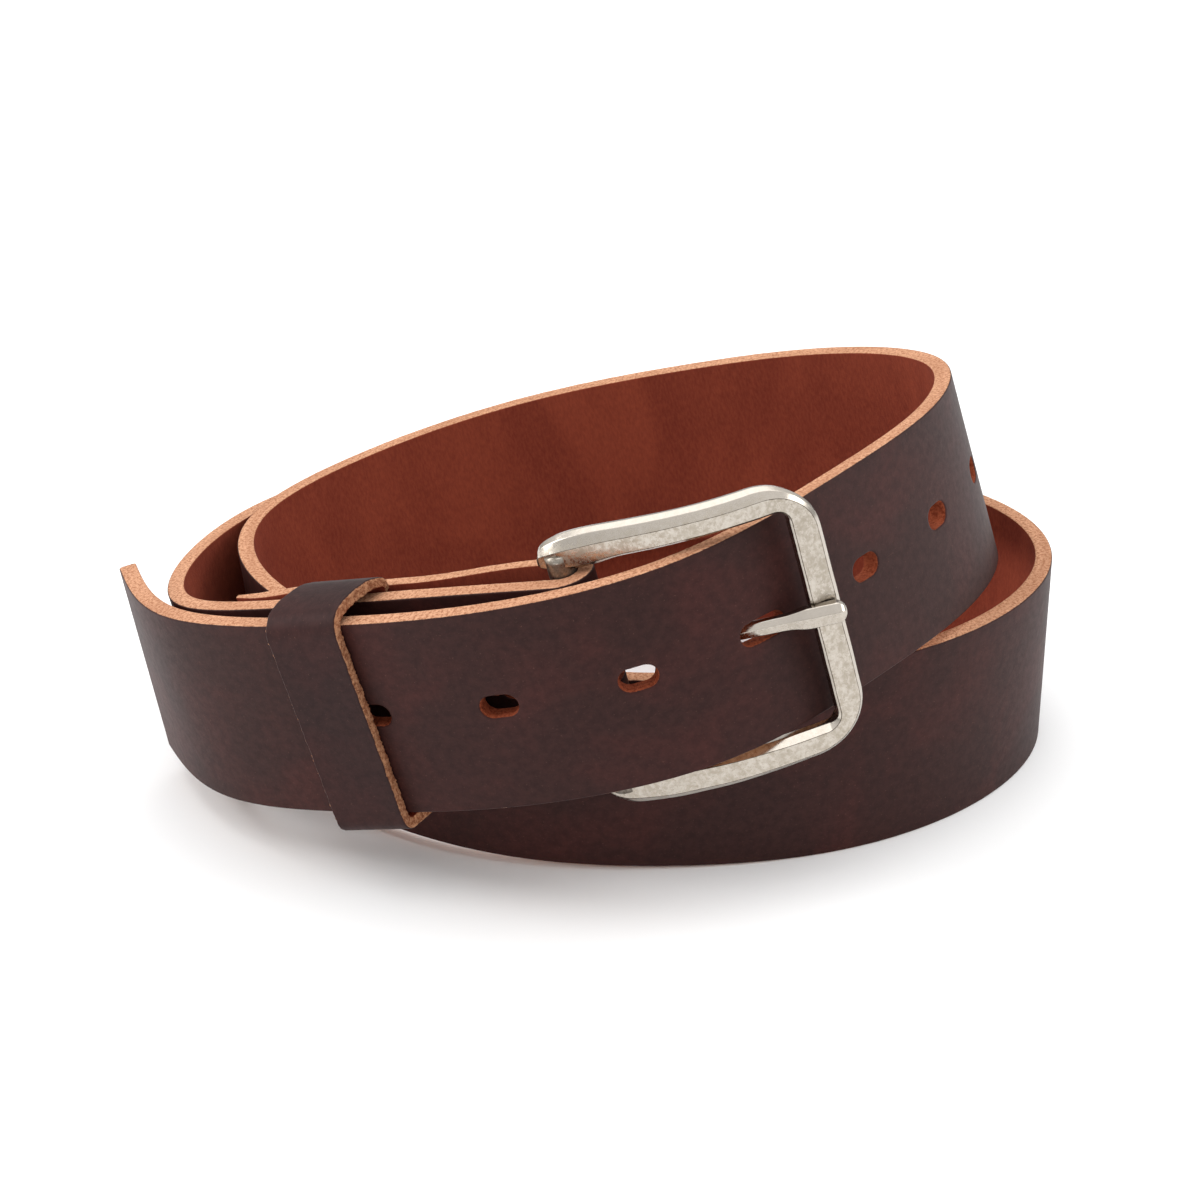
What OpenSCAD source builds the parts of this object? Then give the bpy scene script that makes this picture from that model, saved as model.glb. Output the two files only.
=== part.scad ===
// Leather belt with a heel-bar buckle, buckled and coiled twice, lying on its lower edge.
//
// The strap is one ribbon of leather. It starts at the end of the flap that is folded back behind
// the buckle, turns round the heel bar, runs round the lower turn, climbs into the upper turn,
// passes through the buckle and the keeper, and ends in the free tip.
// +Z is up, the floor is z = 0, and the buckle faces -Y. Sizes are in millimetres.

/* [Strap] */
// Width of the strap
strap_w = 40; // [36:1:42]
// Thickness of the strap
strap_t = 3.4; // [2.8:0.1:4.1]
// Thickness of the skived flap that is folded back behind the buckle
flap_t = 2.6; // [2:0.1:3.2]
// Length of the flap, from the heel bar to its end
flap_len = 68; // [64:1:76]

/* [Coil] */
// Length of the coiled belt, left to right
coil_l = 184; // [180:1:222]
// Depth of the coiled belt, front to back
coil_d = 134; // [132:1:162]

/* [Punched holes] */
// Distance between holes
hole_pitch = 25; // [18:1:30]
// Length of a hole along the strap
hole_len = 7; // [6:0.5:10]
// Width of a hole
hole_w = 4.4; // [4:0.2:6]
// Height of the row of holes above the middle of the strap
hole_rise = 1; // [0:0.5:2]
// How far the prong bears from the middle of the hole in use, towards the tip
hole_bear = 2.2; // [0:0.2:2.4]
// Holes on each side of the one in use
holes_each_side = 3; // [1:1:3]

/* [Buckle frame] */
// Diameter of the heel bar
bar_d = 5; // [4:0.25:6]
// Distance from the heel bar to the far bar
frame_l = 43; // [40:1:52]
// Height of the opening that the strap passes through, more than the strap's width
frame_play = 3; // [2:0.5:5]
// Width of the side arms
arm_w = 5.5; // [4:0.5:7]
// Width of the far bar
far_bar_w = 5.4; // [4:0.2:6.6]
// Thickness of the arms and the far bar
frame_t = 3.8; // [3:0.2:4.6]
// How far the arms bow outwards between the bars
frame_bow = 3.5; // [2:0.5:5]
// Length of the arms' tails behind the heel bar
arm_tail = 3.5; // [3:0.5:6]
// Radius of the frame's outer corners
corner_out = 11; // [8:1:14]
// Radius of the frame's inner corners
corner_in = 4; // [2:0.5:6]

/* [Prong] */
// Diameter of the prong's shank
prong_d = 2.8; // [2.2:0.1:3.4]
// Diameter of the prong's head
head_d = 3.8; // [3.2:0.1:4.6]
// Wall of the prong's ring round the heel bar
ring_wall = 1.8; // [1.4:0.1:2.2]
// Width of the prong's ring
ring_w = 4.6; // [3.6:0.2:6]
// Depth of the prong's seat in the far bar
seat_depth = 0.8; // [0.5:0.1:1.2]
// How far the prong lifts off its seat while the belt is buckled, in degrees
prong_lift = 1.5; // [1:0.5:2]
// How far the frame swings outwards while the belt is buckled, in degrees
frame_lift = 1.5; // [1:0.5:2]

/* [Keeper] */
// Width of the keeper, along the strap
keeper_w = 14.5; // [10:0.5:18]
// Thickness of the keeper
keeper_t = 2.2; // [1.6:0.1:2.8]
// Thickness of the keeper's inner leg, which is skived
keeper_leg_t = 1.4; // [1:0.1:2]
// Distance from the heel bar to the middle of the keeper
keeper_s = 44.5; // [42:0.5:46]
// How far the keeper slides each way
keeper_travel = 3; // [1:0.5:3]
// Room between the strap's edges and the keeper
keeper_play = 1; // [0.5:0.1:1.5]

/* [Screws] */
// Distance from the heel bar to the front screw
front_screw_s = 25; // [25:0.5:28]
// Distance from the heel bar to the rear screw
rear_screw_s = 59; // [58:0.5:60]
// Outer diameter of a screw's post
post_d = 5; // [4:0.2:5.6]
// Diameter of the flat heads
screw_head_d = 9.5; // [8:0.5:10]
// Thickness of the flat heads
screw_head_t = 1.1; // [0.8:0.1:1.4]
// Diameter of the screw's thread
screw_d = 3; // [2.4:0.1:3.4]

/* [Clearances] */
// Gap between leather and any piece that moves past it
soft_gap = 0.35; // [0.3:0.05:0.5]
// Radial gap between the heel bar and the fold round it
bar_gap = 0.3; // [0.3:0.05:0.5]
// Radial gap of a metal running fit
run_gap = 0.06; // [0.03:0.01:0.1]

/* [Hidden] */
$fn = 48;

// The route of the strap's middle line, from the heel bar to the tip. Each point is
// [x, y, height of the lower edge, lean of the strap in degrees], and pulls a smooth curve.
// It is drawn for a coil 184 x 134 mm of 40 mm strap, and follows coil_l, coil_d and strap_w.
drawn_l = 184;
drawn_d = 134;
drawn_w = 40;
drawn_mid = [-1.4, -0.4];  // middle of the points as drawn, which becomes the origin
FRONT_LEFT = [[-3, -60, 29, 15], [-33.5, -48.5, 21, 16], [-61, -37, 13, 15], [-78, -22, 5.5, 14],
              [-80.5, 8.5, 1.5, 9], [-67.5, 42, 0.5, 3]];
LOWER_TURN = [[-33, 62, 0, 0], [11.5, 66.5, 0, 0], [55, 57.5, 0, 0], [87, 37, 0, 0],
              [93, 7.5, 0, 0], [75.5, -20.5, 0, 0], [47, -39, 0, 0]];
CLIMB = [[11.5, -45, 0.5, -3], [-22, -42, 1.5, -2], [-50.5, -26, 2.5, 1], [-69.5, -1, 2, 5],
         [-70.5, 26.5, 2.5, 9]];
UPPER_TURN = [[-49.5, 47.5, 6, 11], [-17, 61, 13.5, 13], [22, 60, 22.5, 14], [57, 47.5, 32, 14],
              [76.5, 22.5, 39.5, 16], [69.5, -11.5, 42.5, 18], [46, -42.5, 41.5, 18]];
TIP = [[19, -66, 35.5, 18], [-14.5, -66, 26.5, 17], [-49.5, -51, 16.5, 15], [-79, -33, 8, 14],
       [-89, -5.5, 5.5, 10]];
route = [for (p = concat(FRONT_LEFT, LOWER_TURN, CLIMB, UPPER_TURN, TIP))
    [(p[0] - drawn_mid[0]) * coil_l / drawn_l, (p[1] - drawn_mid[1]) * coil_d / drawn_d,
     p[2] * strap_w / drawn_w + cos(p[3]) * strap_w / 2, p[3]]];
last = len(route) - 1;
rings_per_point = 6;
tip_from = 22;  // the strap from this point of the route on is the part that the buckle holds

// ---- Vectors -------------------------------------------------------------------------------
function unit(v) = v / norm(v);
function flat3(v) = [v[0], v[1], v[2]];

// A frame is [origin, x, y, z]: x points along the strap towards the buckle, y to its inner
// side and z up its width. local() gives a point's place in a frame.
function local(f, p) = [(p - f[0]) * f[1], (p - f[0]) * f[2], (p - f[0]) * f[3]];
module in_frame(f) {
    multmatrix([[f[1][0], f[2][0], f[3][0], f[0][0]],
                [f[1][1], f[2][1], f[3][1], f[0][1]],
                [f[1][2], f[2][2], f[3][2], f[0][2]],
                [0, 0, 0, 1]]) children();
}

// ---- The strap's middle line: a uniform cubic B-spline through the route's points ------------
function knot(i) = i < 0 ? 2 * route[0] - route[1]
    : i > last ? 2 * route[last] - route[last - 1] : route[i];
function span(u) = min(floor(u), last - 1);
function blend(k, w) = knot(k - 1) * w[0] + knot(k) * w[1] + knot(k + 1) * w[2] + knot(k + 2) * w[3];
function place(u) = let (k = span(u), f = u - k)
    blend(k, [pow(1 - f, 3), 3 * f * f * f - 6 * f * f + 4,
              -3 * f * f * f + 3 * f * f + 3 * f + 1, f * f * f] / 6);
function heading(u) = let (k = span(u), f = u - k)
    blend(k, [-(1 - f) * (1 - f), 3 * f * f - 4 * f, -3 * f * f + 2 * f + 1, f * f] / 2);
function frame_at(u) =
    let (p = place(u), t = unit(flat3(heading(u))), up = [-sin(p[3]), 0, cos(p[3])],
         z = unit(up - (up * t) * t))
    [flat3(p), -t, cross(t, z), z];

// Arc length against u, and back again
steps = last * rings_per_point;
mid_points = [for (i = [0:steps]) flat3(place(i / rings_per_point))];
lengths = [for (i = 0, s = 0; i <= steps; i = i + 1,
    s = i > steps ? s : s + norm(mid_points[i] - mid_points[i - 1])) s];
S_OF_U = [for (i = [0:steps]) [i / rings_per_point, lengths[i]]];
U_OF_S = [for (i = [0:steps]) [lengths[i], i / rings_per_point]];
function s_of(u) = lookup(u, S_OF_U);
function frame_along(s) = frame_at(lookup(s, U_OF_S));

// ---- The fold round the heel bar -------------------------------------------------------------
fold_in = bar_d / 2 + bar_gap;
start = frame_at(0);
bar_frame = [start[0] + start[2] * (fold_in + strap_t / 2), start[1], start[2], start[3]];
function ease(x) = let (c = max(0, min(1, x))) c * c * (3 - 2 * c);
// The flap comes in from the heel bar until the keeper's inner leg just fits between flap and
// strap, and then comes in again to lie on the strap behind the keeper
leg_play = 1.2;
leg_gap = 0.75;  // the share of it between leg and strap
end_gap = 0.6;
come_in = [6, 30];
lie_down = [rear_screw_s - 8, rear_screw_s + 6];
// Distance between the middles of strap and flap, s along from the heel bar
function flap_off(s) =
    let (solid = (strap_t + flap_t) / 2, at_bar = 2 * fold_in + solid,
         at_keeper = keeper_leg_t + leg_play + solid, at_end = end_gap + solid)
    at_bar + (at_keeper - at_bar) * ease((s - come_in[0]) / (come_in[1] - come_in[0]))
        + (at_end - at_keeper) * ease((s - lie_down[0]) / (lie_down[1] - lie_down[0]));
skive_l = 7;    // length of the flap's thinned end
skive_t = 1.2;  // thickness at that end
function flap_thick(s) = skive_t + (flap_t - skive_t) * min(1, (flap_len - s) / skive_l);

// A ring is [middle, outward direction of the grain side, width direction, thickness]
flap_steps = 20;
FLAP_RINGS = [for (i = [0:flap_steps]) let (s = flap_len * (1 - i / flap_steps), f = frame_along(s))
    [f[0] + f[2] * flap_off(s), f[2], f[3], flap_thick(s)]];
fold_steps = 16;
FOLD_RINGS = [for (i = [1:fold_steps - 1])
    let (k = i / fold_steps, a = 90 - 180 * k, t = flap_t + (strap_t - flap_t) * k,
         out = bar_frame[1] * cos(a) + bar_frame[2] * sin(a))
    [bar_frame[0] + out * (fold_in + t / 2), out, bar_frame[3], t]];
STRAP_RINGS = [for (i = [0:steps]) let (f = frame_at(i / rings_per_point))
    [f[0], -f[2], f[3], strap_t]];

// ---- Where the buckle lies -------------------------------------------------------------------
// The far bar rests outside the tip, so it lies where the strap's outer side, moved out by the
// bar's own half-size, is frame_l from the heel bar. scan() gives the places on the route to
// look at, in tenths of a point, with the last one first.
function scan(from, points) = [for (i = [10 * points:-1:0]) from + i / 10];
far_twist = 0.8;  // extra room, because the strap twists a little on its way to the far bar
far_reach = strap_t / 2 + soft_gap + far_twist + norm([far_bar_w, frame_t]) / 2;
function far_place(u) = let (f = frame_at(u), p = local(bar_frame, f[0] - f[2] * far_reach))
    [p[0], p[1]];
buckled = scan(tip_from, 3.5);
far_u = lookup(frame_l, [for (u = buckled) [norm(far_place(u)), u]]);
far_xy = far_place(far_u);
frame_turn = atan2(far_xy[1], far_xy[0]);
bow_r = (frame_l * frame_l / 4 + frame_bow * frame_bow) / (2 * frame_bow);
far_tilt = asin(frame_l / 2 / bow_r);

// The prong points from the heel bar to its seat on the far bar
head_off = frame_t / 2 + head_d / 2 - seat_depth;
head_xy = [frame_l + sin(far_tilt) * head_off, -cos(far_tilt) * head_off];
prong_turn = frame_turn + atan2(head_xy[1], head_xy[0]);
// The hole in use is where the strap's middle line crosses the prong
function past_prong(u) = let (p = local(bar_frame, frame_at(u)[0]))
    p[1] * cos(prong_turn) - p[0] * sin(prong_turn);
cross_u = lookup(0, [for (u = buckled) [past_prong(u), u]]);
cross_s = s_of(cross_u);
cross_at = let (f = frame_at(cross_u)) local(bar_frame, f[0] + f[3] * hole_rise);
prong_z = cross_at[2];
cross_reach = norm([cross_at[0], cross_at[1]]);
frame_z = prong_z / 2;  // the frame's middle, between the fold's and the tip's
open_h = strap_w + frame_play;

// ---- Where the keeper lies -------------------------------------------------------------------
keeper_frame = frame_along(keeper_s);
TIP_PAST_KEEPER = [for (u = scan(tip_from + 3.5, 3)) local(keeper_frame, frame_at(u)[0])];
function tip_beside(x, k) = lookup(x, [for (p = TIP_PAST_KEEPER) [p[0], p[k]]]);
keeper_reach = keeper_w / 2 + keeper_travel;
tip_y = min([for (x = [-keeper_reach, 0, keeper_reach]) tip_beside(x, 1)]);
tip_z = [for (x = [-keeper_reach, keeper_reach]) tip_beside(x, 2)];
keeper_out = tip_y - strap_t / 2 - soft_gap;                  // inner side of the outer leg
keeper_in = strap_t / 2 + leg_gap;                            // outer side of the inner leg
keeper_low = min(0, min(tip_z)) - strap_w / 2 - keeper_play;
keeper_high = max(0, max(tip_z)) + strap_w / 2 + 2 * soft_gap;
keeper_bend = 0.8;  // inner radius of the keeper's corners

// ---- Pieces ----------------------------------------------------------------------------------
module ribbon(rings) {
    n = len(rings);
    corners = [for (r = rings) for (c = [[1, 1], [-1, 1], [-1, -1], [1, -1]])
        r[0] + r[1] * (c[0] * r[3] / 2) + r[2] * (c[1] * strap_w / 2)];
    sides = [for (i = [0:n - 2]) for (k = [0:3])
        let (a = 4 * i + k, b = 4 * i + (k + 1) % 4, c = b + 4, d = a + 4)
        for (tri = [[a, b, c], [a, c, d]]) tri];
    ends = [[2, 1, 0], [3, 2, 0], [4 * n - 4, 4 * n - 3, 4 * n - 2], [4 * n - 4, 4 * n - 2, 4 * n - 1]];
    polyhedron(corners, concat(sides, ends));
}

// A rod along x, and one along y, from a to b
module rod_x(a, b, r1, r2) {
    translate([a, 0, 0]) rotate([0, 90, 0]) cylinder(h = b - a, r1 = r1, r2 = r2);
}
module rod_y(a, b, r) {
    translate([0, b, 0]) rotate([90, 0, 0]) cylinder(h = b - a, r = r);
}

// An oblong punch through the strap, in the strap's own frame
module punch(length, width, low, high) {
    for (x = [-1, 1] * (length - width) / 2) translate([x, 0, 0]) rod_y(low, high, width / 2);
    translate([-(length - width) / 2, low, -width / 2]) cube([length - width, high - low, width]);
}

module along_prong(lift = 0) {
    in_frame(bar_frame) translate([0, 0, prong_z]) rotate([0, 0, prong_turn - lift]) children();
}

// The slanted way that the prong has worn through the hole in use
module prong_way() {
    way = 9;  // its length each side of the hole's middle
    way_r = prong_d / 2 + soft_gap;
    for (k = [0:4], lift = (prong_lift + frame_lift) * k / 4)
        along_prong(lift) rod_x(cross_reach - way, cross_reach + way, way_r, way_r);
}

// The slot in the fold, which the prong's ring turns in
module fold_slot() {
    slot_play = 1.2;
    slot_w = ring_w + slot_play;
    slot_back = 13;  // how far the slot runs behind the heel bar
    outer = fold_in + strap_t + 0.5;
    in_frame(bar_frame) translate([0, 0, prong_z]) {
        translate([0, 0, -slot_w / 2]) cylinder(h = slot_w, r = outer);
        translate([-slot_back, -outer, -slot_w / 2]) cube([slot_back, 2 * outer + 1, slot_w]);
        translate([-slot_back, 0, 0]) rod_y(-outer, outer + 1, slot_w / 2);
    }
}

seat_sink = 0.3;  // how far the screws' heads press into the leather
function post_seat(s) = flap_off(s) + flap_t / 2 - seat_sink;
screw_seat = -strap_t / 2 + seat_sink;
module screw_bore(s) {
    in_frame(frame_along(s)) {
        rod_y(-strap_t, flap_off(s) + flap_t, post_d / 2 + run_gap);
        rod_y(post_seat(s), post_seat(s) + 2, screw_head_d / 2 + run_gap);
        rod_y(screw_seat - 2, screw_seat, screw_head_d / 2 + run_gap);
    }
}

module strap() {
    color("#4a302b") difference() {
        ribbon(concat(FLAP_RINGS, FOLD_RINGS, STRAP_RINGS));
        for (k = [-holes_each_side:holes_each_side])
            in_frame(frame_along(cross_s - hole_bear + k * hole_pitch)) translate([0, 0, hole_rise])
                punch(hole_len, hole_w, -strap_t / 2 - 1, strap_t / 2 + 1);
        prong_way();
        fold_slot();
        screw_bore(front_screw_s);
        screw_bore(rear_screw_s);
    }
}

// The keeper's loop, seen along the strap: a strip of leather bent round four corners
module rounded(x0, x1, z0, z1, r) {
    translate([x0 + r, z0]) square([x1 - x0 - 2 * r, z1 - z0]);
    translate([x0, z0 + r]) square([x1 - x0, z1 - z0 - 2 * r]);
    for (x = [x0 + r, x1 - r], z = [z0 + r, z1 - r]) translate([x, z]) circle(r);
}

staple_l = 8;
staple_wire = 0.6;
staple_skin = 0.2;  // leather left in front of the staple's legs
module staple_shape() {
    inner = keeper_in + keeper_leg_t;
    translate([-staple_wire / 2, inner - staple_wire, -staple_l / 2]) cube([staple_wire, staple_wire, staple_l]);
    for (z = [-1, 1] * (staple_l - staple_wire) / 2)
        translate([-staple_wire / 2, keeper_in + staple_skin, z - staple_wire / 2])
            cube([staple_wire, keeper_leg_t - staple_skin, staple_wire]);
}

module keeper() {
    color("#52352f") in_frame(keeper_frame) difference() {
        rotate([90, 0, 90]) linear_extrude(keeper_w, center = true) difference() {
            rounded(keeper_out - keeper_t, keeper_in + keeper_leg_t, keeper_low - keeper_t,
                    keeper_high + keeper_t, keeper_bend + keeper_t);
            rounded(keeper_out, keeper_in, keeper_low, keeper_high, keeper_bend);
        }
        staple_shape();
    }
}

module keeper_staple() {
    color("silver") in_frame(keeper_frame) staple_shape();
}

// The frame seen from the front: a U of two arms and the far bar
module frame_outline() {
    h = open_h / 2 + arm_w;
    right = frame_l + far_bar_w / 2;
    tail_r = 0.45 * arm_w;
    difference() {
        union() {
            translate([-arm_tail, -h + tail_r]) square([arm_tail + right - corner_out, 2 * h - 2 * tail_r]);
            translate([-arm_tail + tail_r, -h]) square([arm_tail - tail_r + right - corner_out, 2 * h]);
            translate([right - corner_out, -h + corner_out]) square([corner_out, 2 * h - 2 * corner_out]);
            for (z = [-1, 1]) {
                translate([right - corner_out, z * (h - corner_out)]) circle(corner_out);
                translate([-arm_tail + tail_r, z * (h - tail_r)]) circle(tail_r);
            }
        }
        rounded(-arm_tail - 20, frame_l - far_bar_w / 2, -open_h / 2, open_h / 2, corner_in);
    }
}

module buckle_frame() {
    depth = 4 * (frame_bow + frame_t);
    seat_r = head_d / 2 + run_gap;
    seat_from = frame_l - 7;
    seat_l = 16;
    color("#c9c4b8") difference() {
        in_frame(bar_frame) translate([0, 0, frame_z]) rotate([0, 0, frame_turn]) union() {
            intersection() {
                rotate([90, 0, 0]) linear_extrude(depth, center = true) frame_outline();
                translate([frame_l / 2, bow_r - frame_bow, 0]) difference() {
                    cylinder(h = 2 * strap_w, r = bow_r + frame_t / 2, center = true, $fn = 96);
                    cylinder(h = 3 * strap_w, r = bow_r - frame_t / 2, center = true, $fn = 96);
                }
            }
            cylinder(h = open_h + arm_w, r = bar_d / 2, center = true);
        }
        along_prong() {
            rod_x(seat_from, seat_from + seat_l, seat_r, seat_r);
            translate([seat_from, -frame_t, -seat_r]) cube([seat_l, frame_t, 2 * seat_r]);
        }
    }
}

// A straight shank that swells into the head just before the far bar, which it ends over
module prong() {
    ring_r = bar_d / 2 + run_gap + ring_wall;
    neck = frame_l - 7;
    shoulder = frame_l - 3;
    tip = frame_l + far_bar_w / 2 - 0.8;
    color("#d2cdc2") along_prong() {
        difference() {
            union() {
                cylinder(h = ring_w, r = ring_r, center = true);
                rod_x(bar_d / 2 + ring_wall / 2, neck, prong_d / 2, prong_d / 2);
            }
            cylinder(h = ring_w + 2, r = bar_d / 2 + run_gap, center = true);
        }
        rod_x(neck, shoulder, prong_d / 2, head_d / 2);
        rod_x(shoulder, tip, head_d / 2, head_d / 2);
        translate([tip, 0, 0]) sphere(head_d / 2);
    }
}

// A flat-headed post from the flap's side, bored for the screw
module post(s) {
    barrel_end = screw_seat + 0.2;
    head_left = 0.8;  // metal left between the bore and the leather's side of the head
    color("#b8903f") in_frame(frame_along(s)) difference() {
        union() {
            rod_y(post_seat(s), post_seat(s) + screw_head_t, screw_head_d / 2);
            rod_y(barrel_end, post_seat(s), post_d / 2);
        }
        rod_y(barrel_end - 1, post_seat(s) - head_left, screw_d / 2 + run_gap);
    }
}

// A flat-headed screw from the strap's grain side, with a slot for a coin or a screwdriver
module screw(s) {
    thread_l = 4;
    slot_w = 1;
    slot_d = 0.5;
    color("#b8903f") in_frame(frame_along(s)) difference() {
        union() {
            rod_y(screw_seat - screw_head_t, screw_seat, screw_head_d / 2);
            rod_y(screw_seat, screw_seat + thread_l, screw_d / 2);
        }
        translate([-screw_head_d, screw_seat - screw_head_t - 1, -slot_w / 2])
            cube([2 * screw_head_d, 1 + slot_d, slot_w]);
    }
}

strap();
keeper();
keeper_staple();
buckle_frame();
prong();
post(front_screw_s);  // front_post
screw(front_screw_s);  // front_screw
post(rear_screw_s);  // rear_post
screw(rear_screw_s);  // rear_screw
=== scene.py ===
"""A leather belt, buckled and coiled twice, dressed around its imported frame.

Sizes are millimetres in the classes below and become metres where a mesh is made. The belt's
axes are those of the frame: +Z up, the floor at z = 0, and the buckle facing -Y.
"""

import logging
import math
from collections.abc import Callable, Sequence
from dataclasses import dataclass, field
from enum import Enum

import bpy
import numpy as np
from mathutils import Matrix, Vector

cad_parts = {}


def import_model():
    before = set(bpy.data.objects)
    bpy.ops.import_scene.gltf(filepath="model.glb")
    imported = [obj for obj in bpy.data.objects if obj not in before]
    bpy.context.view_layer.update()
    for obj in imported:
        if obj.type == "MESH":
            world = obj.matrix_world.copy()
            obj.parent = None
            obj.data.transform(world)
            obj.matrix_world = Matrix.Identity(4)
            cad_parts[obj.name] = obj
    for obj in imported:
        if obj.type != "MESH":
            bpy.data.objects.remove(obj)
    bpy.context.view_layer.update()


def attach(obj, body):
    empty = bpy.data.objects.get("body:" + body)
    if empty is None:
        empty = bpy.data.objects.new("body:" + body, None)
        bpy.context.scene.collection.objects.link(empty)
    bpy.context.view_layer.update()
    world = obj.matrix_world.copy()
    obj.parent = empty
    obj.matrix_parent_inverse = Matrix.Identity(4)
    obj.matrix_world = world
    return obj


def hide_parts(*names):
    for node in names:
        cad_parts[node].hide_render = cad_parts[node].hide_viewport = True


log = logging.getLogger("belt")
MM = 0.001
Array = np.ndarray


# ---- Small helpers -----------------------------------------------------------------------------
def unit(v: Array) -> Array:
    """Rows of v scaled to a length of one."""
    return v / np.linalg.norm(v, axis=-1, keepdims=True)


def ease(x: Array) -> Array:
    """A smooth step from 0 to 1 as x goes from 0 to 1."""
    c = np.clip(x, 0.0, 1.0)
    return c * c * (3 - 2 * c)


def spread(*stops: tuple[float, float]) -> Array:
    """Lines from the first stop to the last.

    Args:
        stops: pairs of a place and the largest step up to the next place.

    Returns:
        The places of all the lines, in order.
    """
    parts = [
        np.linspace(a, b, max(1, math.ceil((b - a) / step)), endpoint=False)
        for (a, step), (b, _) in zip(stops, stops[1:])
    ]
    return np.concatenate(parts + [[stops[-1][0]]])


class Ripple:
    """Smooth seeded noise between about -1 and 1, as a sum of sine waves."""

    def __init__(self, seed: int, wavelength: float, waves: int = 9) -> None:
        """Draws the waves.

        Args:
            seed: the same seed gives the same noise.
            wavelength: the length of the longest waves.
            waves: how many are added.
        """
        draw = np.random.default_rng(seed)
        turn = unit(draw.normal(size=(waves, 3)))
        self.pull = turn * (2 * math.pi / wavelength * draw.uniform(1.0, 3.2, (waves, 1)))
        self.start = draw.uniform(0, 2 * math.pi, waves)

    def at(self, points: Array) -> Array:
        """The noise at rows of three coordinates."""
        return np.sin(points @ self.pull.T + self.start).mean(axis=1) * 2.2


# ---- Where the belt runs -----------------------------------------------------------------------
@dataclass
class Spots:
    """Local frames along the strap: x points back towards the buckle, y inwards and z up."""

    origin: Array
    x: Array
    y: Array
    z: Array

    def place(self, points: Array) -> Array:
        """World points for local ones, row by row."""
        a, b, c = points[:, :1], points[:, 1:2], points[:, 2:3]
        return self.origin + a * self.x + b * self.y + c * self.z

    def local(self, points: Array) -> Array:
        """Local points for world ones, row by row."""
        d = points - self.origin
        return np.stack([(d * self.x).sum(-1), (d * self.y).sum(-1), (d * self.z).sum(-1)], -1)

    def turned(self, angle: float, rise: float) -> "Spots":
        """The same frame moved up by rise and turned round its z by an angle in radians."""
        c, s = math.cos(angle), math.sin(angle)
        return Spots(
            self.origin + self.z * rise, self.x * c + self.y * s, self.y * c - self.x * s, self.z
        )


@dataclass
class Cut:
    """The sizes that the leather and the metal share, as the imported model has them."""

    strap_w: float = 40.0
    strap_t: float = 3.4
    flap_t: float = 2.6
    flap_l: float = 68.0
    skive_l: float = 7.0
    skive_t: float = 1.2
    hole_pitch: float = 25.0
    hole_l: float = 7.0
    hole_w: float = 4.4
    hole_bear: float = 2.2
    hole_rise: float = 1.0
    holes_each_side: int = 3
    bar_d: float = 5.0
    bar_gap: float = 0.3
    soft_gap: float = 0.35
    run_gap: float = 0.06
    keeper_w: float = 14.5
    keeper_t: float = 2.2
    keeper_leg_t: float = 1.4
    keeper_s: float = 44.5
    front_screw_s: float = 25.0
    rear_screw_s: float = 59.0
    post_d: float = 5.0
    head_d: float = 9.5
    head_t: float = 1.1
    head_sink: float = 0.3

    @property
    def fold_in(self) -> float:
        """Inner radius of the fold round the heel bar."""
        return self.bar_d / 2 + self.bar_gap

    @property
    def fold_l(self) -> float:
        """Length of the leather's middle line round the heel bar."""
        return math.pi * (self.fold_in + (self.strap_t + self.flap_t) / 4)


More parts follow.
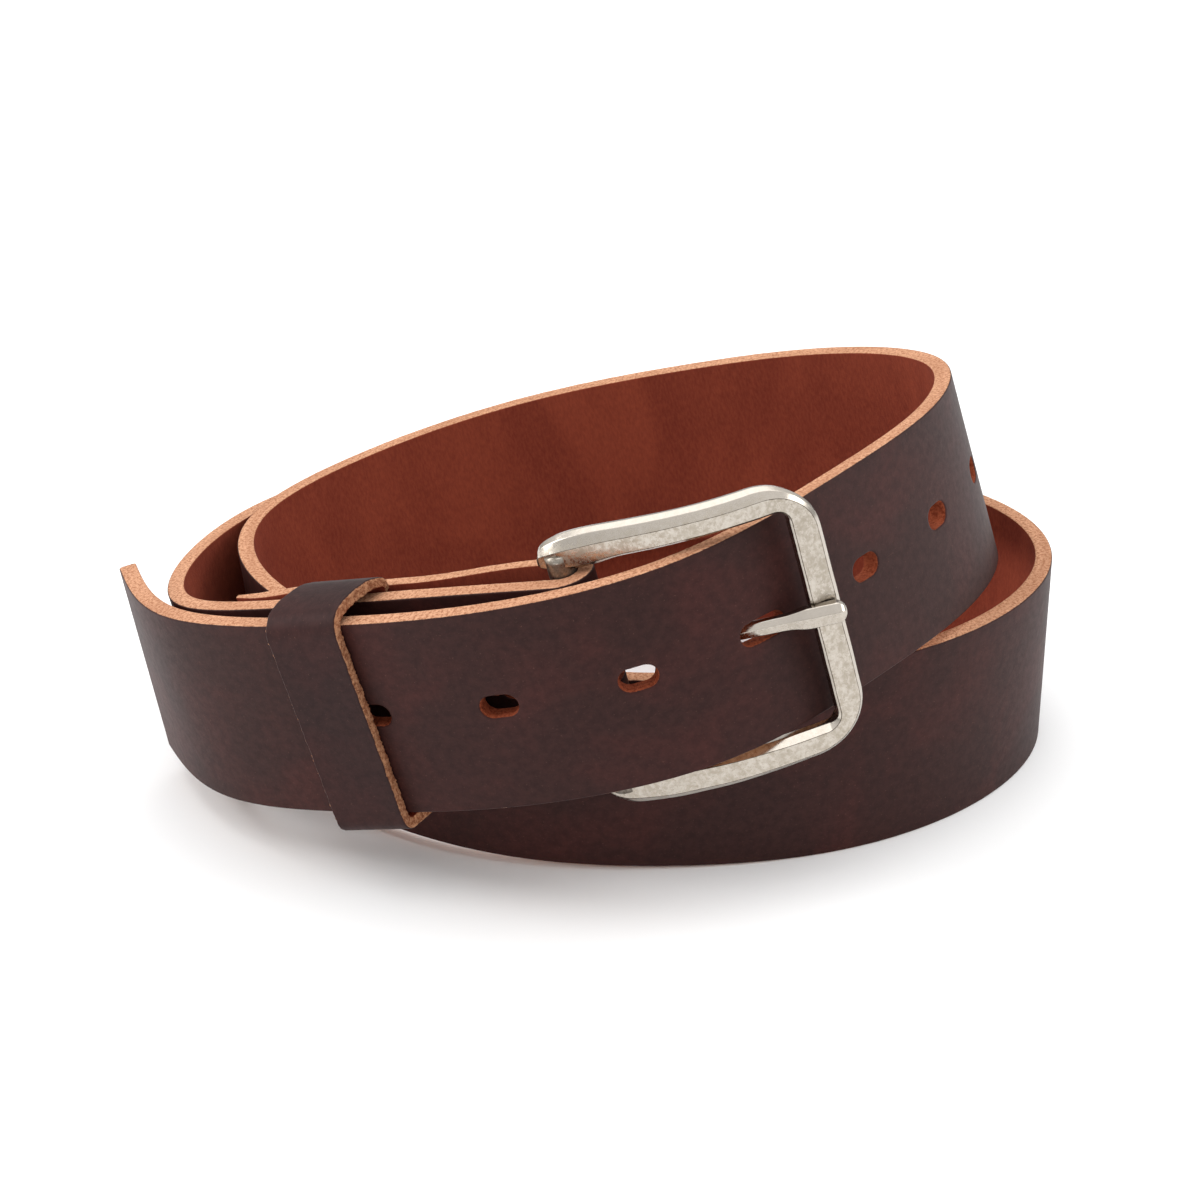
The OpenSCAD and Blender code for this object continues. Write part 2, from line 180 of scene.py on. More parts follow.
class Route:
    """The strap's middle line: a cubic B-spline pulled by points (x, y, rise, lean).

    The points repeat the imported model's. They are not a designed list: a least-squares fit by
    another program gave them, rounded to 0.5 mm and 1 degree, and some were then moved slightly.
    """

    FRONT_LEFT = [(-3, -60, 29, 15), (-33.5, -48.5, 21, 16), (-61, -37, 13, 15),
                  (-78, -22, 5.5, 14), (-80.5, 8.5, 1.5, 9), (-67.5, 42, 0.5, 3)]
    LOWER_TURN = [(-33, 62, 0, 0), (11.5, 66.5, 0, 0), (55, 57.5, 0, 0), (87, 37, 0, 0),
                  (93, 7.5, 0, 0), (75.5, -20.5, 0, 0), (47, -39, 0, 0)]
    CLIMB = [(11.5, -45, 0.5, -3), (-22, -42, 1.5, -2), (-50.5, -26, 2.5, 1),
             (-69.5, -1, 2, 5), (-70.5, 26.5, 2.5, 9)]
    UPPER_TURN = [(-49.5, 47.5, 6, 11), (-17, 61, 13.5, 13), (22, 60, 22.5, 14),
                  (57, 47.5, 32, 14), (76.5, 22.5, 39.5, 16), (69.5, -11.5, 42.5, 18),
                  (46, -42.5, 41.5, 18)]
    TIP = [(19, -66, 35.5, 18), (-14.5, -66, 26.5, 17), (-49.5, -51, 16.5, 15),
           (-79, -33, 8, 14), (-89, -5.5, 5.5, 10)]
    MIDDLE = (-1.4, -0.4)
    STEPS = 6
    TIP_FROM = 22.0

    def __init__(self, cut: Cut) -> None:
        """Lays the route out for a strap of cut's width."""
        p = np.array(self.FRONT_LEFT + self.LOWER_TURN + self.CLIMB + self.UPPER_TURN + self.TIP)
        lean = np.radians(p[:, 3])
        mid_z = p[:, 2] + np.cos(lean) * cut.strap_w / 2
        inner = np.column_stack([p[:, 0] - self.MIDDLE[0], p[:, 1] - self.MIDDLE[1], mid_z, lean])
        self.last = len(p) - 1
        self.knots = np.vstack([2 * inner[0] - inner[1], inner, 2 * inner[-1] - inner[-2]])
        self.u = np.arange(self.last * self.STEPS + 1) / self.STEPS
        middle = self.spots_u(self.u).origin
        steps = np.linalg.norm(np.diff(middle, axis=0), axis=1)
        self.s = np.concatenate([[0.0], np.cumsum(steps)])
        self.length = float(self.s[-1])

    def spots_u(self, u: Array) -> Spots:
        """The local frames at places u, counted in route points."""
        u = np.atleast_1d(np.asarray(u, float))
        k = np.clip(np.floor(u), 0, self.last - 1).astype(int)
        f = (u - k)[:, None]
        near = [self.knots[k + i] for i in range(4)]
        w = [(1 - f) ** 3, 3 * f**3 - 6 * f**2 + 4, -3 * f**3 + 3 * f**2 + 3 * f + 1, f**3]
        v = [-((1 - f) ** 2), 3 * f * f - 4 * f, -3 * f * f + 2 * f + 1, f * f]
        p = sum(a * b for a, b in zip(near, w)) / 6
        ahead = unit(sum(a * b for a, b in zip(near, v))[:, :3])
        up = np.column_stack([-np.sin(p[:, 3]), np.zeros(len(p)), np.cos(p[:, 3])])
        z = unit(up - (up * ahead).sum(1, keepdims=True) * ahead)
        return Spots(p[:, :3], -ahead, np.cross(ahead, z), z)

    def spots(self, s: Array) -> Spots:
        """The local frames at lengths s along the strap from the heel bar."""
        return self.spots_u(np.interp(s, self.s, self.u))

    def seek(self, value: Callable[[Spots], Array], target: float) -> float:
        """The place in the buckled part of the tip where value() comes nearest to target.

        Args:
            value: gives one number for each local frame, falling along the route.
            target: the number to find.

        Returns:
            The place, counted in route points.
        """
        u = self.TIP_FROM + np.arange(35, -1, -1) / 10
        return float(np.interp(target, value(self.spots_u(u)), u))


@dataclass
class Buckling:
    """Where the buckle lies on the strap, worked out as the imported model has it."""

    cut: Cut
    route: Route
    frame_l: float = 43.0
    frame_play: float = 3.0
    arm_w: float = 5.5
    far_bar_w: float = 5.4
    frame_t: float = 3.8
    frame_bow: float = 3.5
    head_d: float = 3.8
    seat_depth: float = 0.8
    far_twist: float = 0.8

    def __post_init__(self) -> None:
        """Places the heel bar, the frame, the prong and the hole in use."""
        cut, start = self.cut, self.route.spots(0.0)
        self.bar = Spots(start.origin + start.y * (cut.fold_in + cut.strap_t / 2),
                         start.x, start.y, start.z)
        half = math.hypot(self.far_bar_w, self.frame_t) / 2
        reach = cut.strap_t / 2 + cut.soft_gap + self.far_twist + half

        def far(spots: Spots) -> Array:
            return self.bar.local(spots.origin - spots.y * reach)[:, :2]

        far_u = self.route.seek(lambda q: np.linalg.norm(far(q), axis=1), self.frame_l)
        x, y = far(self.route.spots_u(far_u))[0]
        self.frame_turn = math.atan2(y, x)
        self.bow_r = (self.frame_l**2 / 4 + self.frame_bow**2) / (2 * self.frame_bow)
        tilt = math.asin(self.frame_l / 2 / self.bow_r)
        off = self.frame_t / 2 + self.head_d / 2 - self.seat_depth
        head = (self.frame_l + math.sin(tilt) * off, -math.cos(tilt) * off)
        self.prong_turn = self.frame_turn + math.atan2(head[1], head[0])
        c, s = math.cos(self.prong_turn), math.sin(self.prong_turn)

        def past(spots: Spots) -> Array:
            p = self.bar.local(spots.origin)
            return p[:, 1] * c - p[:, 0] * s

        cross_u = self.route.seek(past, 0.0)
        self.cross_s = float(np.interp(cross_u, self.route.u, self.route.s))
        cross = self.route.spots_u(cross_u)
        at = self.bar.local(cross.origin + cross.z * cut.hole_rise)[0]
        self.prong_z = float(at[2])
        self.frame_spot = self.bar.turned(self.frame_turn, self.prong_z / 2)
        self.prong_spot = self.bar.turned(self.prong_turn, self.prong_z)

    def bow(self, x: Array) -> Array:
        """How far the frame's middle is behind its chord at x, negative where it bows out."""
        side = x - self.frame_l / 2
        return self.bow_r - self.frame_bow - np.sqrt(self.bow_r**2 - side**2)


# ---- Meshes ------------------------------------------------------------------------------------
@dataclass
class Shell:
    """A mesh in the making: points in millimetres, faces, and values that belong to points."""

    points: Array
    faces: list[tuple[int, ...]]
    values: dict[str, Array] = field(default_factory=dict)

    def object(self, name: str, material: bpy.types.Material) -> bpy.types.Object:
        """A smooth-shaded Blender object of this mesh, in metres.

        Args:
            name: the piece's name.
            material: its finish.

        Returns:
            The object, linked to the scene.
        """
        mesh = bpy.data.meshes.new(name)
        mesh.from_pydata((self.points * MM).tolist(), [], self.faces)
        for key, value in self.values.items():
            kind = "FLOAT_VECTOR" if value.ndim == 2 else "FLOAT"
            layer = mesh.attributes.new(key, kind, "POINT")
            layer.data.foreach_set("vector" if value.ndim == 2 else "value", value.ravel())
        mesh.validate()
        mesh.shade_smooth()
        mesh.materials.append(material)
        made = bpy.data.objects.new(name, mesh)
        bpy.context.scene.collection.objects.link(made)
        return made


def grid_faces(rows: int, columns: int, wrap: bool = False) -> list[tuple[int, int, int, int]]:
    """Quads over a grid of points.

    Args:
        rows: how many rows of points there are.
        columns: how many points each row has.
        wrap: whether each row closes on itself.

    Returns:
        The quads.
    """
    i, j = np.meshgrid(np.arange(rows - 1), np.arange(columns - (0 if wrap else 1)), indexing="ij")
    a, b = i * columns + j, i * columns + (j + 1) % columns
    quads = np.stack([a, b, b + columns, a + columns], -1).reshape(-1, 4)
    return [tuple(q) for q in quads.tolist()]


def rod_faces(rows: int, columns: int, flip: bool = False) -> list[tuple[int, ...]]:
    """Quads round the rows of a rod, and a cap at each end.

    Args:
        rows: how many rings of points there are.
        columns: how many points each ring has.
        flip: whether the faces look the other way.

    Returns:
        The faces.
    """
    caps = (range(columns - 1, -1, -1), range((rows - 1) * columns, rows * columns))
    faces = [*grid_faces(rows, columns, wrap=True), *(tuple(cap) for cap in caps)]
    return [f[::-1] for f in faces] if flip else faces


def join(*shells: Shell) -> Shell:
    """One shell of several, which stay separate islands."""
    points, faces, values = [], [], {}
    base = 0
    for shell in shells:
        points.append(shell.points)
        faces += [tuple(base + k for k in f) for f in shell.faces]
        base += len(shell.points)
    for key in shells[0].values:
        values[key] = np.concatenate([s.values[key] for s in shells])
    return Shell(np.vstack(points), faces, values)


@dataclass(frozen=True)
class Hole:
    """An oblong or round hole: its middle on the flat hide, its length and its width."""

    s: float
    w: float
    length: float
    width: float
    round_over: float = 0.45

    def edge(self, toward: Array) -> Array:
        """The points of the outline that lie in the directions of rows of toward."""
        d = unit(toward)
        a, r = (self.length - self.width) / 2, self.width / 2
        flat = r / np.maximum(np.abs(d[:, 1]), 1e-9)
        round_end = a * np.abs(d[:, 0]) + np.sqrt(
            np.maximum(r * r - (a * d[:, 1]) ** 2, 0.0))
        reach = np.where(np.abs(flat * d[:, 0]) <= a, flat, round_end)
        return d * reach[:, None]

    def distance(self, points: Array) -> Array:
        """How far rows of points are outside the outline."""
        a = (self.length - self.width) / 2
        x = np.maximum(np.abs(points[:, 0] - self.s) - a, 0.0)
        return np.hypot(x, points[:, 1] - self.w) - self.width / 2


class HideSheet:
    """A flat cut of hide with punched holes, given a thickness and rounded raw edges."""

    EDGE_STEPS = 5
    RINGS = (0.1, 0.28, 0.55, 1.0)

    def __init__(self, s_lines: Array, w_lines: Array, holes: Sequence[Hole], margin: float) -> None:
        """Lays out the plan of the sheet, as a grid with a ring of quads round each hole.

        Args:
            s_lines: places of the grid's lines along the sheet.
            w_lines: places of the lines across it.
            holes: the punched holes.
            margin: room between a hole's outline and the grid.
        """
        ns, nw = len(s_lines), len(w_lines)
        s, w = np.meshgrid(s_lines, w_lines, indexing="ij")
        plan = [np.column_stack([s.ravel(), w.ravel()])]
        edge = np.minimum(np.minimum(s - s_lines[0], s_lines[-1] - s),
                          np.minimum(w - w_lines[0], w_lines[-1] - w)).ravel()
        away, rim = [edge], [np.full(edge.shape, 0.35)]
        keep = np.ones((ns - 1, nw - 1), bool)
        index = np.arange(ns * nw).reshape(ns, nw)
        outline = [np.concatenate([index[:, 0], index[-1, 1:], index[-2::-1, -1],
                                   index[0, -2:0:-1]])]
        faces: list[Array] = []
        base = ns * nw
        for hole in holes:
            i0 = np.searchsorted(s_lines, hole.s - hole.length / 2 - margin) - 1
            i1 = np.searchsorted(s_lines, hole.s + hole.length / 2 + margin)
            j0 = np.searchsorted(w_lines, hole.w - hole.width / 2 - margin) - 1
            j1 = np.searchsorted(w_lines, hole.w + hole.width / 2 + margin)
            i0, j0 = max(i0, 0), max(j0, 0)
            keep[i0:i1, j0:j1] = False
            ring = np.concatenate([index[i0:i1, j0], index[i1, j0:j1], index[i1:i0:-1, j1],
                                   index[i0, j1:j0:-1]])
            outer = plan[0][ring]
            inner = hole.edge(outer - [hole.s, hole.w]) + [hole.s, hole.w]
            gap = np.linalg.norm(outer - inner, axis=1, keepdims=True)
            n = len(ring)
            before = ring
            for d in (*[r for r in self.RINGS if r < margin * 0.8][::-1], 0.0):
                plan.append(inner + (outer - inner) * (d / gap))
                away.append(np.full(n, d))
                rim.append(np.full(n, hole.round_over))
                now = base + np.arange(n)
                after = np.roll(now, -1)
                faces.append(np.stack([before, np.roll(before, -1), after, now], -1))
                before = now
                base += n
            outline.append(before[::-1])
        i, j = np.nonzero(keep)
        a = index[i, j]
        faces.append(np.stack([a, index[i + 1, j], index[i + 1, j + 1], index[i, j + 1]], -1))
        used = np.unique(np.concatenate([f.ravel() for f in faces]))
        renumber = np.full(base, -1)
        renumber[used] = np.arange(len(used))
        self.plan = np.vstack(plan)[used]
        self.away = np.concatenate(away)[used]
        self.rim = np.concatenate(rim)[used]
        self.faces = renumber[np.vstack(faces)]
        self.outlines = [renumber[o] for o in outline]

    def thicken(self, thick: Array, top: Array, low: Array, press: Array,
                flesh_rim: float = 0.22) -> Shell:
        """Both sides of the sheet and its walls, as points (s, w, height above the middle).

        Args:
            thick: the hide's thickness at each point of the plan.
            top: how much is worn off the grain side at each point.
            low: how much is worn off the flesh side.
            press: how far the grain side is pressed in, which doesn't cut it.
            flesh_rim: the radius that the flesh side's edges are rounded to.

        Returns:
            A shell with hide, the place on the flat hide and the depth below its grain, and
            flesh, the distance from the flesh side.
        """
        n = len(self.plan)
        rim = np.minimum(self.rim, thick * 0.3)
        flesh = np.minimum(flesh_rim, thick * 0.2)
        drop = rim - np.sqrt(np.maximum(rim**2 - np.maximum(rim - self.away, 0) ** 2, 0))
        lift = flesh - np.sqrt(np.maximum(flesh**2 - np.maximum(flesh - self.away, 0) ** 2, 0))
        high = thick / 2 - np.maximum(drop, top)
        base = -thick / 2 + np.maximum(lift, low)
        base = np.minimum(base, high - 0.25)
        rows = [np.column_stack([self.plan, high - press]), np.column_stack([self.plan, base])]
        depth = [thick / 2 - high, thick / 2 - base]
        quads = [self.faces, self.faces[:, ::-1] + n]
        count = 2 * n
        for outline in self.outlines:
            m = len(outline)
            before = outline
            for k in range(1, self.EDGE_STEPS + 1):
                if k < self.EDGE_STEPS:
                    share = k / self.EDGE_STEPS
                    height = high[outline] + (base[outline] - high[outline]) * share
                    pressed = height - press[outline] * (1 - share)
                    rows.append(np.column_stack([self.plan[outline], pressed]))
                    depth.append(thick[outline] / 2 - height)
                    now = count + np.arange(m)
                    count += m
                else:
                    now = outline + n
                quads.append(np.stack([np.roll(before, -1), before, now, np.roll(now, -1)], -1))
                before = now
        points = np.vstack(rows)
        depth_all = np.concatenate(depth)
        where = np.concatenate([np.arange(n), np.arange(n)]
                               + [np.tile(o, self.EDGE_STEPS - 1) for o in self.outlines])
        faces = [tuple(q) for q in np.vstack(quads).tolist()]
        hide = np.column_stack([points[:, :2], depth_all])
        return Shell(points, faces, {"hide": hide, "flesh": thick[where] - depth_all})


# ---- Shader maths ------------------------------------------------------------------------------
class Wire:
    """A socket that arithmetic can be done with."""

    def __init__(self, tree: "Tree", socket: bpy.types.NodeSocket) -> None:
        """Keeps the socket and the tree that it belongs to."""
        self.tree, self.socket = tree, socket

    def _math(self, kind: str, *inputs: "Wire | float", clamp: bool = False) -> "Wire":
        """A Math node of a kind on this wire's tree."""
        return self.tree.add("Math", {"operation": kind, "use_clamp": clamp}, *inputs)

    def __add__(self, other: "Wire | float") -> "Wire":
        """This plus other."""
        return self._math("ADD", self, other)

    __radd__ = __add__

    def __sub__(self, other: "Wire | float") -> "Wire":
        """This minus other."""
        return self._math("SUBTRACT", self, other)

    def __rsub__(self, other: float) -> "Wire":
        """Other minus this."""
        return self._math("SUBTRACT", other, self)

    def __mul__(self, other: "Wire | float") -> "Wire":
        """This times other."""
        return self._math("MULTIPLY", self, other)

    __rmul__ = __mul__

    def __truediv__(self, other: "Wire | float") -> "Wire":
        """This over other."""
        return self._math("DIVIDE", self, other)

    def clamp(self) -> "Wire":
        """This kept from 0 to 1."""
        return self._math("ADD", self, 0.0, clamp=True)

    def least(self, other: "Wire | float") -> "Wire":
        """The smaller of this and other."""
        return self._math("MINIMUM", self, other)

    def step(self, low: float, high: float) -> "Wire":
        """A smooth step from 0 at low to 1 at high, or the other way where low is larger."""
        settings = {"interpolation_type": "SMOOTHSTEP"}
        if low > high:
            return 1.0 - self.step(high, low)
        return self.tree.add("MapRange", settings, self, low, high, 0.0, 1.0)


class Tree:
    """The nodes of a material or of the world."""

    def __init__(self, name: str, world: bool = False) -> None:
        """Starts with the lone shader that a new material or world has.

        Args:
            name: the material's or the world's name.
            world: whether it is a world.
        """
        self.owner = (bpy.data.worlds if world else bpy.data.materials).new(name)
        self.owner.use_nodes = True
        self.nodes, self.links = self.owner.node_tree.nodes, self.owner.node_tree.links
        shader = "BACKGROUND" if world else "BSDF_PRINCIPLED"
        self.shader = next(n for n in self.nodes if n.type == shader)

    def add(self, kind: str, settings: dict, *inputs: "Wire | float | tuple | None",
            out: int | str = 0, **named: "Wire | float | tuple") -> Wire:
        """Any node.

        Args:
            kind: the node's type without ShaderNode.
            settings: its properties, or stops for a ramp's colours.
            inputs: wires or values for its sockets in order, with None for one left alone.
            out: which output to return.
            named: wires or values for sockets by name, with _ for a space.

        Returns:
            The output.
        """
        node = self.nodes.new("ShaderNode" + kind)
        for key, value in settings.items():
            if key == "stops":
                self._stops(node.color_ramp, value)
            else:
                setattr(node, key, value)
        usable = [s for s in node.inputs if s.enabled]
        pairs = list(zip(usable, inputs))
        by_name = {s.name.replace(" ", "_"): s for s in usable}
        pairs += [(by_name[key], value) for key, value in named.items()]
        for socket, value in pairs:
            self.feed(socket, value)
        outputs = [s for s in node.outputs if s.enabled]
        return Wire(self, outputs[out] if isinstance(out, int) else node.outputs[out])

    @staticmethod
    def _stops(ramp: bpy.types.ColorRamp, stops: Sequence[tuple[float, tuple]]) -> None:
        """Gives a ramp its places and colours."""
        while len(ramp.elements) < len(stops):
            ramp.elements.new(0.5)
        for element, (place, colour) in zip(ramp.elements, stops):
            element.position, element.color = place, (*colour[:3], 1.0)

    def feed(self, socket: bpy.types.NodeSocket, value: "Wire | float | tuple | None") -> None:
        """Links or sets one socket."""
        if isinstance(value, Wire):
            self.links.new(value.socket, socket)
        elif value is not None:
            wide = isinstance(value, tuple) and len(value) == 3 and socket.type == "RGBA"
            socket.default_value = (*value, 1.0) if wide else value

    def mix(self, share: Wire | float, a: "Wire | tuple", b: "Wire | tuple",
            kind: str = "MIX") -> Wire:
        """Colour a with share of colour b mixed in."""
        return self.add("Mix", {"data_type": "RGBA", "blend_type": kind}, share, a, b)

    def noise(self, at: Wire, scale: float, detail: float = 2.0, rough: float = 0.5,
              warp: float = 0.0) -> Wire:
        """Noise from 0 to 1, with scale features to the unit of at."""
        return self.add("TexNoise", {}, Vector=at, Scale=scale, Detail=detail, Roughness=rough,
                        Distortion=warp)

    def stretch(self, at: Wire, scale: tuple[float, float, float]) -> Wire:
        """A vector scaled by axis."""
        return self.add("VectorMath", {"operation": "MULTIPLY"}, at, scale)

    def bump(self, height: Wire, strength: float, distance: float) -> Wire:
        """A normal raised by a height."""
        return self.add("Bump", {}, Strength=strength, Distance=distance, Height=height)

    def finish(self, **sockets: "Wire | float | tuple") -> bpy.types.Material | bpy.types.World:
        """The material or world, with its shader's sockets fed by name, with _ for a space."""
        for key, value in sockets.items():
            self.feed(self.shader.inputs[key.replace("_", " ")], value)
        return self.owner


# ---- Finishes ----------------------------------------------------------------------------------
@dataclass(frozen=True)
class LeatherFinish:
    """Waxed grain, napped flesh and raw cut edges, told apart by the depth in the hide."""

    name: str
    grain: tuple = (0.034, 0.0115, 0.0098)
    grain_red: tuple = (0.054, 0.0145, 0.0120)
    grain_worn: tuple = (0.20, 0.095, 0.062)
    flesh: tuple = (0.265, 0.053, 0.026)
    flesh_dark: tuple = (0.155, 0.026, 0.014)
    cut: tuple = (0.60, 0.325, 0.195)
    cut_dark: tuple = (0.33, 0.140, 0.072)
    # Painted shade: bore is multiplied into the cut edge on the walls of the punched holes
    bore: tuple = (0.46, 0.20, 0.14)
    ragged: float = 0.10

    def make(self) -> bpy.types.Material:
        """The material."""
        t = Tree(self.name)
        hide = t.add("Attribute", {"attribute_name": "hide"}, out="Vector")
        from_flesh = t.add("Attribute", {"attribute_name": "flesh"}, out="Fac")
        split = t.add("SeparateXYZ", {}, hide, out="Z")
        fine = t.noise(hide, 2.4, 3.0, 0.6)
        depth = split + (fine - 0.5) * (2.0 * self.ragged)
        is_grain = depth.step(0.24, 0.10)
        is_flesh = (from_flesh + (fine - 0.5) * self.ragged).step(0.10, 0.02)
        # Grain: a dark waxed face with soft red clouds, drawn pores and a few pale rubs
        cloud = t.noise(hide, 0.045, 4.0, 0.55, 0.6)
        mottle = t.noise(hide, 0.55, 5.0, 0.7)
        colour = t.mix((cloud.step(0.42, 0.68) * 0.75).clamp(), self.grain, self.grain_red)
        colour = t.mix(mottle.step(0.34, 0.66) * 0.8, colour,
                       t.mix(1.0, colour, (0.62, 0.62, 0.66), "MULTIPLY"))
        flecks = t.noise(hide, 1.9, 3.0, 0.8).step(0.60, 0.74)
        colour = t.mix(flecks * 0.30, colour, self.grain_worn)
        scratch_at = t.stretch(hide, (0.10, 0.55, 0.0))
        scratch = t.noise(scratch_at, 1.0, 5.0, 0.75, 2.2).step(0.705, 0.76)
        colour = t.mix(scratch * 0.35, colour, self.grain_worn)
        pores = t.add("TexVoronoi", {"feature": "F1"}, Vector=hide, Scale=1.7, out="Distance")
        wrinkle = t.noise(t.stretch(hide, (1.0, 0.6, 1.0)), 1.1, 6.0, 0.65, 0.4)
        # Flesh: napped, with upright fibres and darker drags
        nap = t.noise(t.stretch(hide, (1.0, 0.32, 1.0)), 2.1, 5.0, 0.7)
        drag = t.noise(t.stretch(hide, (0.05, 0.02, 1.0)), 1.0, 4.0, 0.6, 0.8)
        under = t.mix((nap.step(0.30, 0.70) * 0.55 + drag.step(0.35, 0.7) * 0.45).clamp(),
                      self.flesh_dark, self.flesh)
        # Cut edge: pale fibres with darker grains between them
        grit = t.noise(hide, 1.6, 5.0, 0.75)
        long = t.noise(t.stretch(hide, (0.05, 0.05, 0.3)), 1.0, 3.0, 0.5)
        raw = t.mix(grit.step(0.57, 0.40), self.cut, self.cut_dark)
        hole_wall_shade = t.add("Attribute", {"attribute_name": "bore"}, out="Fac")
        raw = t.mix(long.step(0.40, 0.66) * 0.35, raw, self.cut_dark)
        # Painted shade on the holes' walls: the cut colour multiplied by the bore colour
        raw = t.mix(hole_wall_shade, raw, t.mix(1.0, raw, self.bore, "MULTIPLY"))
        side = t.mix(is_flesh, raw, under)
        base = t.mix(is_grain, side, colour)
        rough = is_grain * (0.42 + mottle * 0.18 + scratch * 0.2) + (1.0 - is_grain) * 0.92
        lumps = is_grain * (pores.least(0.4) * 0.14 + wrinkle * 0.22 - scratch * 0.05)
        fibres = (1.0 - is_grain) * (grit * 0.9 + nap * 0.5)
        normal = t.bump(lumps + fibres, 0.8, 0.13 * MM)
        return t.finish(Base_Color=base, Roughness=rough, Normal=normal,
                        Specular_IOR_Level=0.14)


class Metal(Enum):
    """Bright, dull and dark colours of a metal; the dark one is painted shade."""

    NICKEL = ((0.50, 0.455, 0.40), (0.315, 0.265, 0.20), (0.06, 0.042, 0.028))
    BRASS = ((0.62, 0.45, 0.20), (0.36, 0.24, 0.10), (0.07, 0.045, 0.02))
    STEEL = ((0.62, 0.62, 0.61), (0.38, 0.38, 0.38), (0.08, 0.08, 0.08))


@dataclass(frozen=True)
class MetalFinish:
    """Cast metal with a mottled patina on its flats, a polish on its ridges and painted shade where its
    pieces ask for it.
    """

    name: str
    metal: Metal
    patina: float = 0.6
    scale: float = 0.5
    polish: float = 0.16
    dull: float = 0.42

    def make(self) -> bpy.types.Material:
        """The material. Its pieces carry cast: flat and groove from 0 to 1, and a spare 0; groove is how
        much painted shade a point gets.
        """
        bright, dull, dark = self.metal.value
        t = Tree(self.name)
        at = t.add("TexCoord", {}, out="Object")
        place = t.stretch(at, (1000.0, 1000.0, 1000.0))
        cast = t.add("Attribute", {"attribute_name": "cast"}, out="Vector")
        flat = t.add("SeparateXYZ", {}, cast, out="X")
        groove = t.add("SeparateXYZ", {}, cast, out="Y")
        speck = t.noise(place, self.scale * 2.2, 5.0, 0.7)
        cloud = t.noise(place, self.scale * 0.8, 4.0, 0.6, 0.5)
        worn = (speck.step(0.40, 0.60) * 0.65 + cloud.step(0.38, 0.62) * 0.35) * (flat * 0.75 + 0.25)
        colour = t.mix((worn * self.patina).clamp(), bright, dull)
        # Painted shade: the dark colour, with a rougher surface, where groove is high
        painted_shade = (groove * (0.55 + speck * 0.9)).step(0.35, 0.85)
        colour = t.mix(painted_shade * 0.9, colour, dark)
        rough = self.polish + worn * (self.dull - self.polish) + painted_shade * 0.3
        rough = rough + (speck - 0.5) * 0.06
        wave = t.noise(place, 0.35, 2.0, 0.5)
        fine = t.noise(place, 2.6, 4.0, 0.65)
        normal = t.bump(wave + fine * 0.16 * (0.3 + flat), 0.5, 0.10 * MM)
        return t.finish(Base_Color=colour, Roughness=rough.clamp(), Normal=normal, Metallic=1.0)


